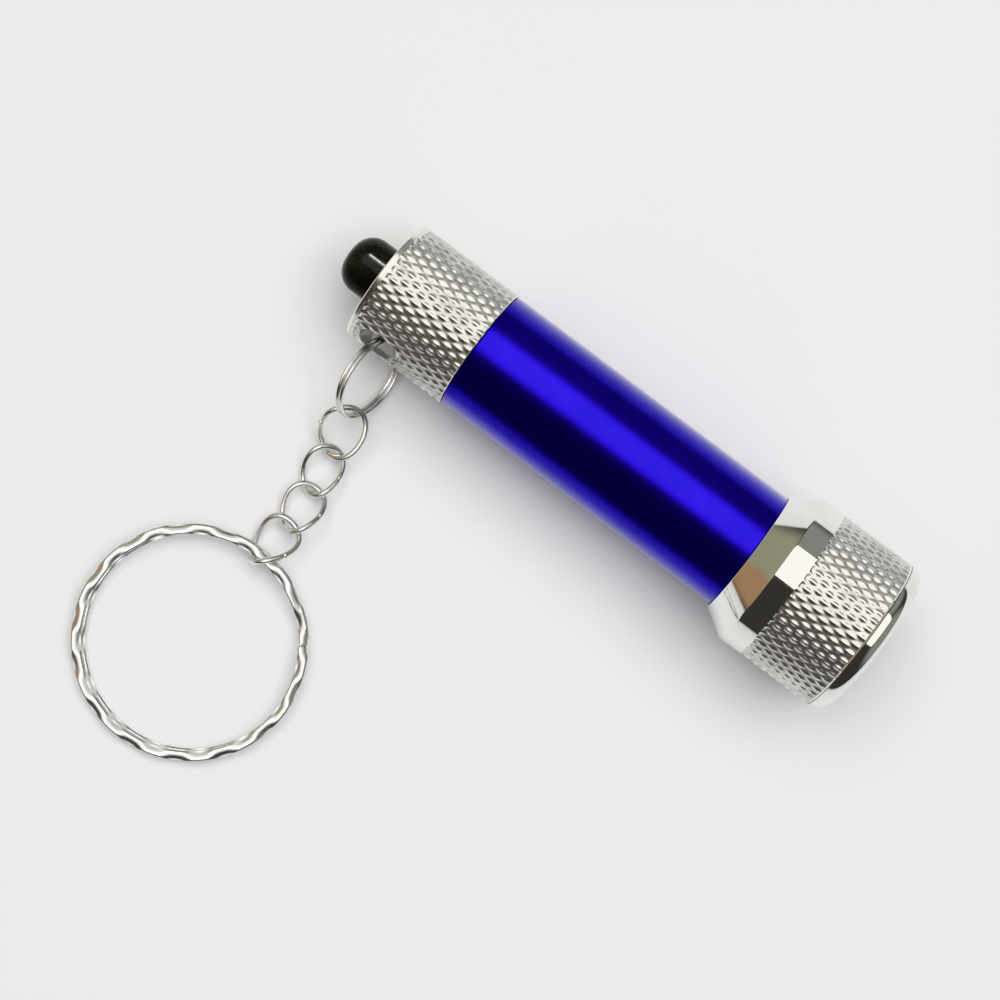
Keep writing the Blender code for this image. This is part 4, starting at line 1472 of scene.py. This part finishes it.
@dataclass
class Studio:
    """A pale floor, soft overhead light and a camera that looks straight down."""

    camera_place: tuple[float, float, float] = (-0.00484, 0.01207, 0.232)
    camera_roll: float = 37.0
    focal_length: float = 79.3
    floor_half: float = 3.0
    floor_colour: Colour = (0.838, 0.85, 0.885)
    floor_mottle: float = 0.985
    floor_blotch: float = 60.0
    floor_grain: float = 900.0
    floor_rough: tuple[float, float] = (0.55, 0.75)
    window_low: float = -5.0
    window_high: float = 43.0
    window_distance: float = 0.9
    window_length: float = 1.4
    window_radiance: float = 2.05
    window_colour: Colour = (1.0, 0.98, 0.92)
    side_across: tuple[float, float] = (-0.9, 0.6)
    side_angles: tuple[float, float] = (-50.0, 35.0)
    side_radiance: float = 0.68
    side_height: float = 1.0
    spark_across: tuple[float, float] = (-0.34, 0.15)
    spark_angles: tuple[float, float] = (-29.0, 1.0)
    spark_radiance: float = 2.6
    strip_across: tuple[float, float] = (-0.45, 0.25)
    strip_angles: tuple[float, float] = (34.5, 39.0)
    strip_radiance: float = 70.0
    fill_radiance: float = 0.72
    fill_height: float = 0.8
    fill_side: float = 1.6
    fill_shift: float = 0.1
    room_colour: Colour = (0.082, 0.079, 0.076)

    def build(self) -> None:
        """Build the floor, the lights and the camera."""
        self.floor()
        wires = ("split_key_ring", "slot_ring", *(f"chain_link_{n}" for n in range(1, 5)))
        self.window(*wires)
        self.small_lamp("side_window", self.side_height, self.side_across, self.side_angles,
                        self.side_radiance, *wires)
        self.small_lamp("spark_window", self.window_distance, self.spark_across,
                        self.spark_angles, self.spark_radiance, *wires)
        self.small_lamp("strip_lamp", self.window_distance, self.strip_across,
                        self.strip_angles, self.strip_radiance, "tail_button")
        self.fill()
        self.surroundings()
        self.camera()
        bpy.context.scene.view_settings.view_transform = "Khronos PBR Neutral"

    def floor(self) -> None:
        """Lay a matt pale floor."""
        half = self.floor_half
        steps = np.linspace(-half, half, 9)
        x, y = np.meshgrid(steps, steps)
        sheet = Sheet(np.stack([x, y, np.zeros_like(x)], -1), wrap_columns=False)
        floor = make_piece("floor", [sheet])
        if floor.data.polygons[0].normal.z < 0:
            floor.data.flip_normals()
        material = bpy.data.materials.new("pale_table")
        material.use_nodes = True
        tree = Tree(material.node_tree)
        here = tree.add("TexCoord").outputs["Object"]
        shader = tree.tree.nodes["Principled BSDF"]
        shader.inputs["Specular IOR Level"].default_value = 0.2
        paper = tree.blend(tree.noise(here, self.floor_blotch, 3.0), self.floor_colour,
                           tuple(c * self.floor_mottle for c in self.floor_colour))
        tree.tree.links.new(paper, shader.inputs["Base Color"])
        rough = tree.level(tree.noise(here, self.floor_grain), *self.floor_rough)
        tree.tree.links.new(rough, shader.inputs["Roughness"])
        floor.data.materials.append(material)

    def panel(self, name: str, size: tuple[float, float], radiance: float,
              place: Matrix) -> bpy.types.Object:
        """Hang a rectangular lamp.

        Args:
            name: Its name.
            size: Its width and length.
            radiance: Its brightness as seen.
            place: Its place and turn; it shines along its own -z.

        Returns:
            The lamp.
        """
        lamp = bpy.data.lights.new(name, "AREA")
        lamp.shape = "RECTANGLE"
        lamp.size, lamp.size_y = size
        lamp.energy = radiance * math.pi * size[0] * size[1]
        item = bpy.data.objects.new(name, lamp)
        item.matrix_world = place
        item.visible_camera = False
        bpy.context.scene.collection.objects.link(item)
        return item

    def window(self, *pieces: str) -> None:
        """Hang the window that the bright metal mirrors, above the chain's far side.

        Args:
            *pieces: The pieces that it leaves to other lamps.
        """
        middle = math.radians((self.window_low + self.window_high) / 2)
        half = math.radians((self.window_high - self.window_low) / 2)
        width = 2 * self.window_distance * math.tan(half)
        place = (Matrix.Rotation(-middle, 4, "X")
                 @ Matrix.Translation((0, 0, self.window_distance)))
        lamp = self.panel("window", (self.window_length, width), self.window_radiance, place)
        lamp.data.color = self.window_colour
        kept_out = bpy.data.collections.new("window_skips")
        for piece in pieces:
            kept_out.objects.link(bpy.data.objects[piece])
        for held in kept_out.collection_objects:
            held.light_linking.link_state = "EXCLUDE"
        lamp.light_linking.receiver_collection = kept_out

    def small_lamp(self, name: str, height: float, across: tuple[float, float],
                   angles: tuple[float, float], radiance: float, *pieces: str) -> None:
        """Hang a level lamp that only some pieces mirror.

        Args:
            name: Its name.
            height: How far above the floor it hangs.
            across: Where it starts and ends along x.
            angles: Its edges, in degrees from straight up towards +y.
            radiance: Its brightness.
            *pieces: The pieces that it lights.
        """
        low, high = (math.tan(math.radians(a)) * height for a in angles)
        place = Matrix.Translation((sum(across) / 2, (low + high) / 2, height))
        lamp = self.panel(name, (across[1] - across[0], high - low), radiance, place)
        lit = bpy.data.collections.new(name + "_lights")
        for piece in pieces:
            lit.objects.link(bpy.data.objects[piece])
        lamp.light_linking.receiver_collection = lit

    def fill(self) -> None:
        """Hang a wide soft light that only lightens the matt floor and plastics."""
        place = Matrix.Translation((self.fill_shift, self.fill_shift, self.fill_height))
        lamp = self.panel("soft_fill", (self.fill_side, self.fill_side), self.fill_radiance, place)
        lamp.visible_glossy = False

    def surroundings(self) -> None:
        """Make the dim room: nearly dark, with paler parts that the metal mirrors."""
        world = bpy.data.worlds.new("room")
        bpy.context.scene.world = world
        world.use_nodes = True
        tree = Tree(world.node_tree)
        way = tree.add("TexCoord").outputs["Generated"]
        colour = self.room_colour
        for glow in ROOM_GLOWS:
            facing = tree.add("VectorMath", {0: way, 1: tuple(unit(np.array(glow.direction)))},
                              operation="DOT_PRODUCT").outputs["Value"]
            colour = tree.blend(tree.ramp(facing, *glow.fades), colour, glow.colour)
        tree.tree.links.new(colour, tree.tree.nodes["Background"].inputs["Color"])

    def camera(self) -> None:
        """Place the camera."""
        lens = bpy.data.cameras.new("camera")
        lens.lens = self.focal_length
        camera = bpy.data.objects.new("camera", lens)
        camera.location = self.camera_place
        camera.rotation_euler = (0, 0, math.radians(self.camera_roll))
        bpy.context.scene.collection.objects.link(camera)
        bpy.context.scene.camera = camera


def main() -> None:
    """Build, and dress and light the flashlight."""
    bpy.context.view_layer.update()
    axes = torch_axes()
    wardrobe = Wardrobe(Effects.made(), axes)
    for kind in (BatteryTube, TailCap, PushButton, Head, Chain, KeyRing):
        assembly = kind(axes)
        assembly.build()
        assembly.dress(wardrobe)
        log.info("%s is ready", kind.__name__)
    Studio().build()


if __name__ == "__main__":
    logging.basicConfig(level=logging.INFO, format="%(name)s: %(message)s")
    main()
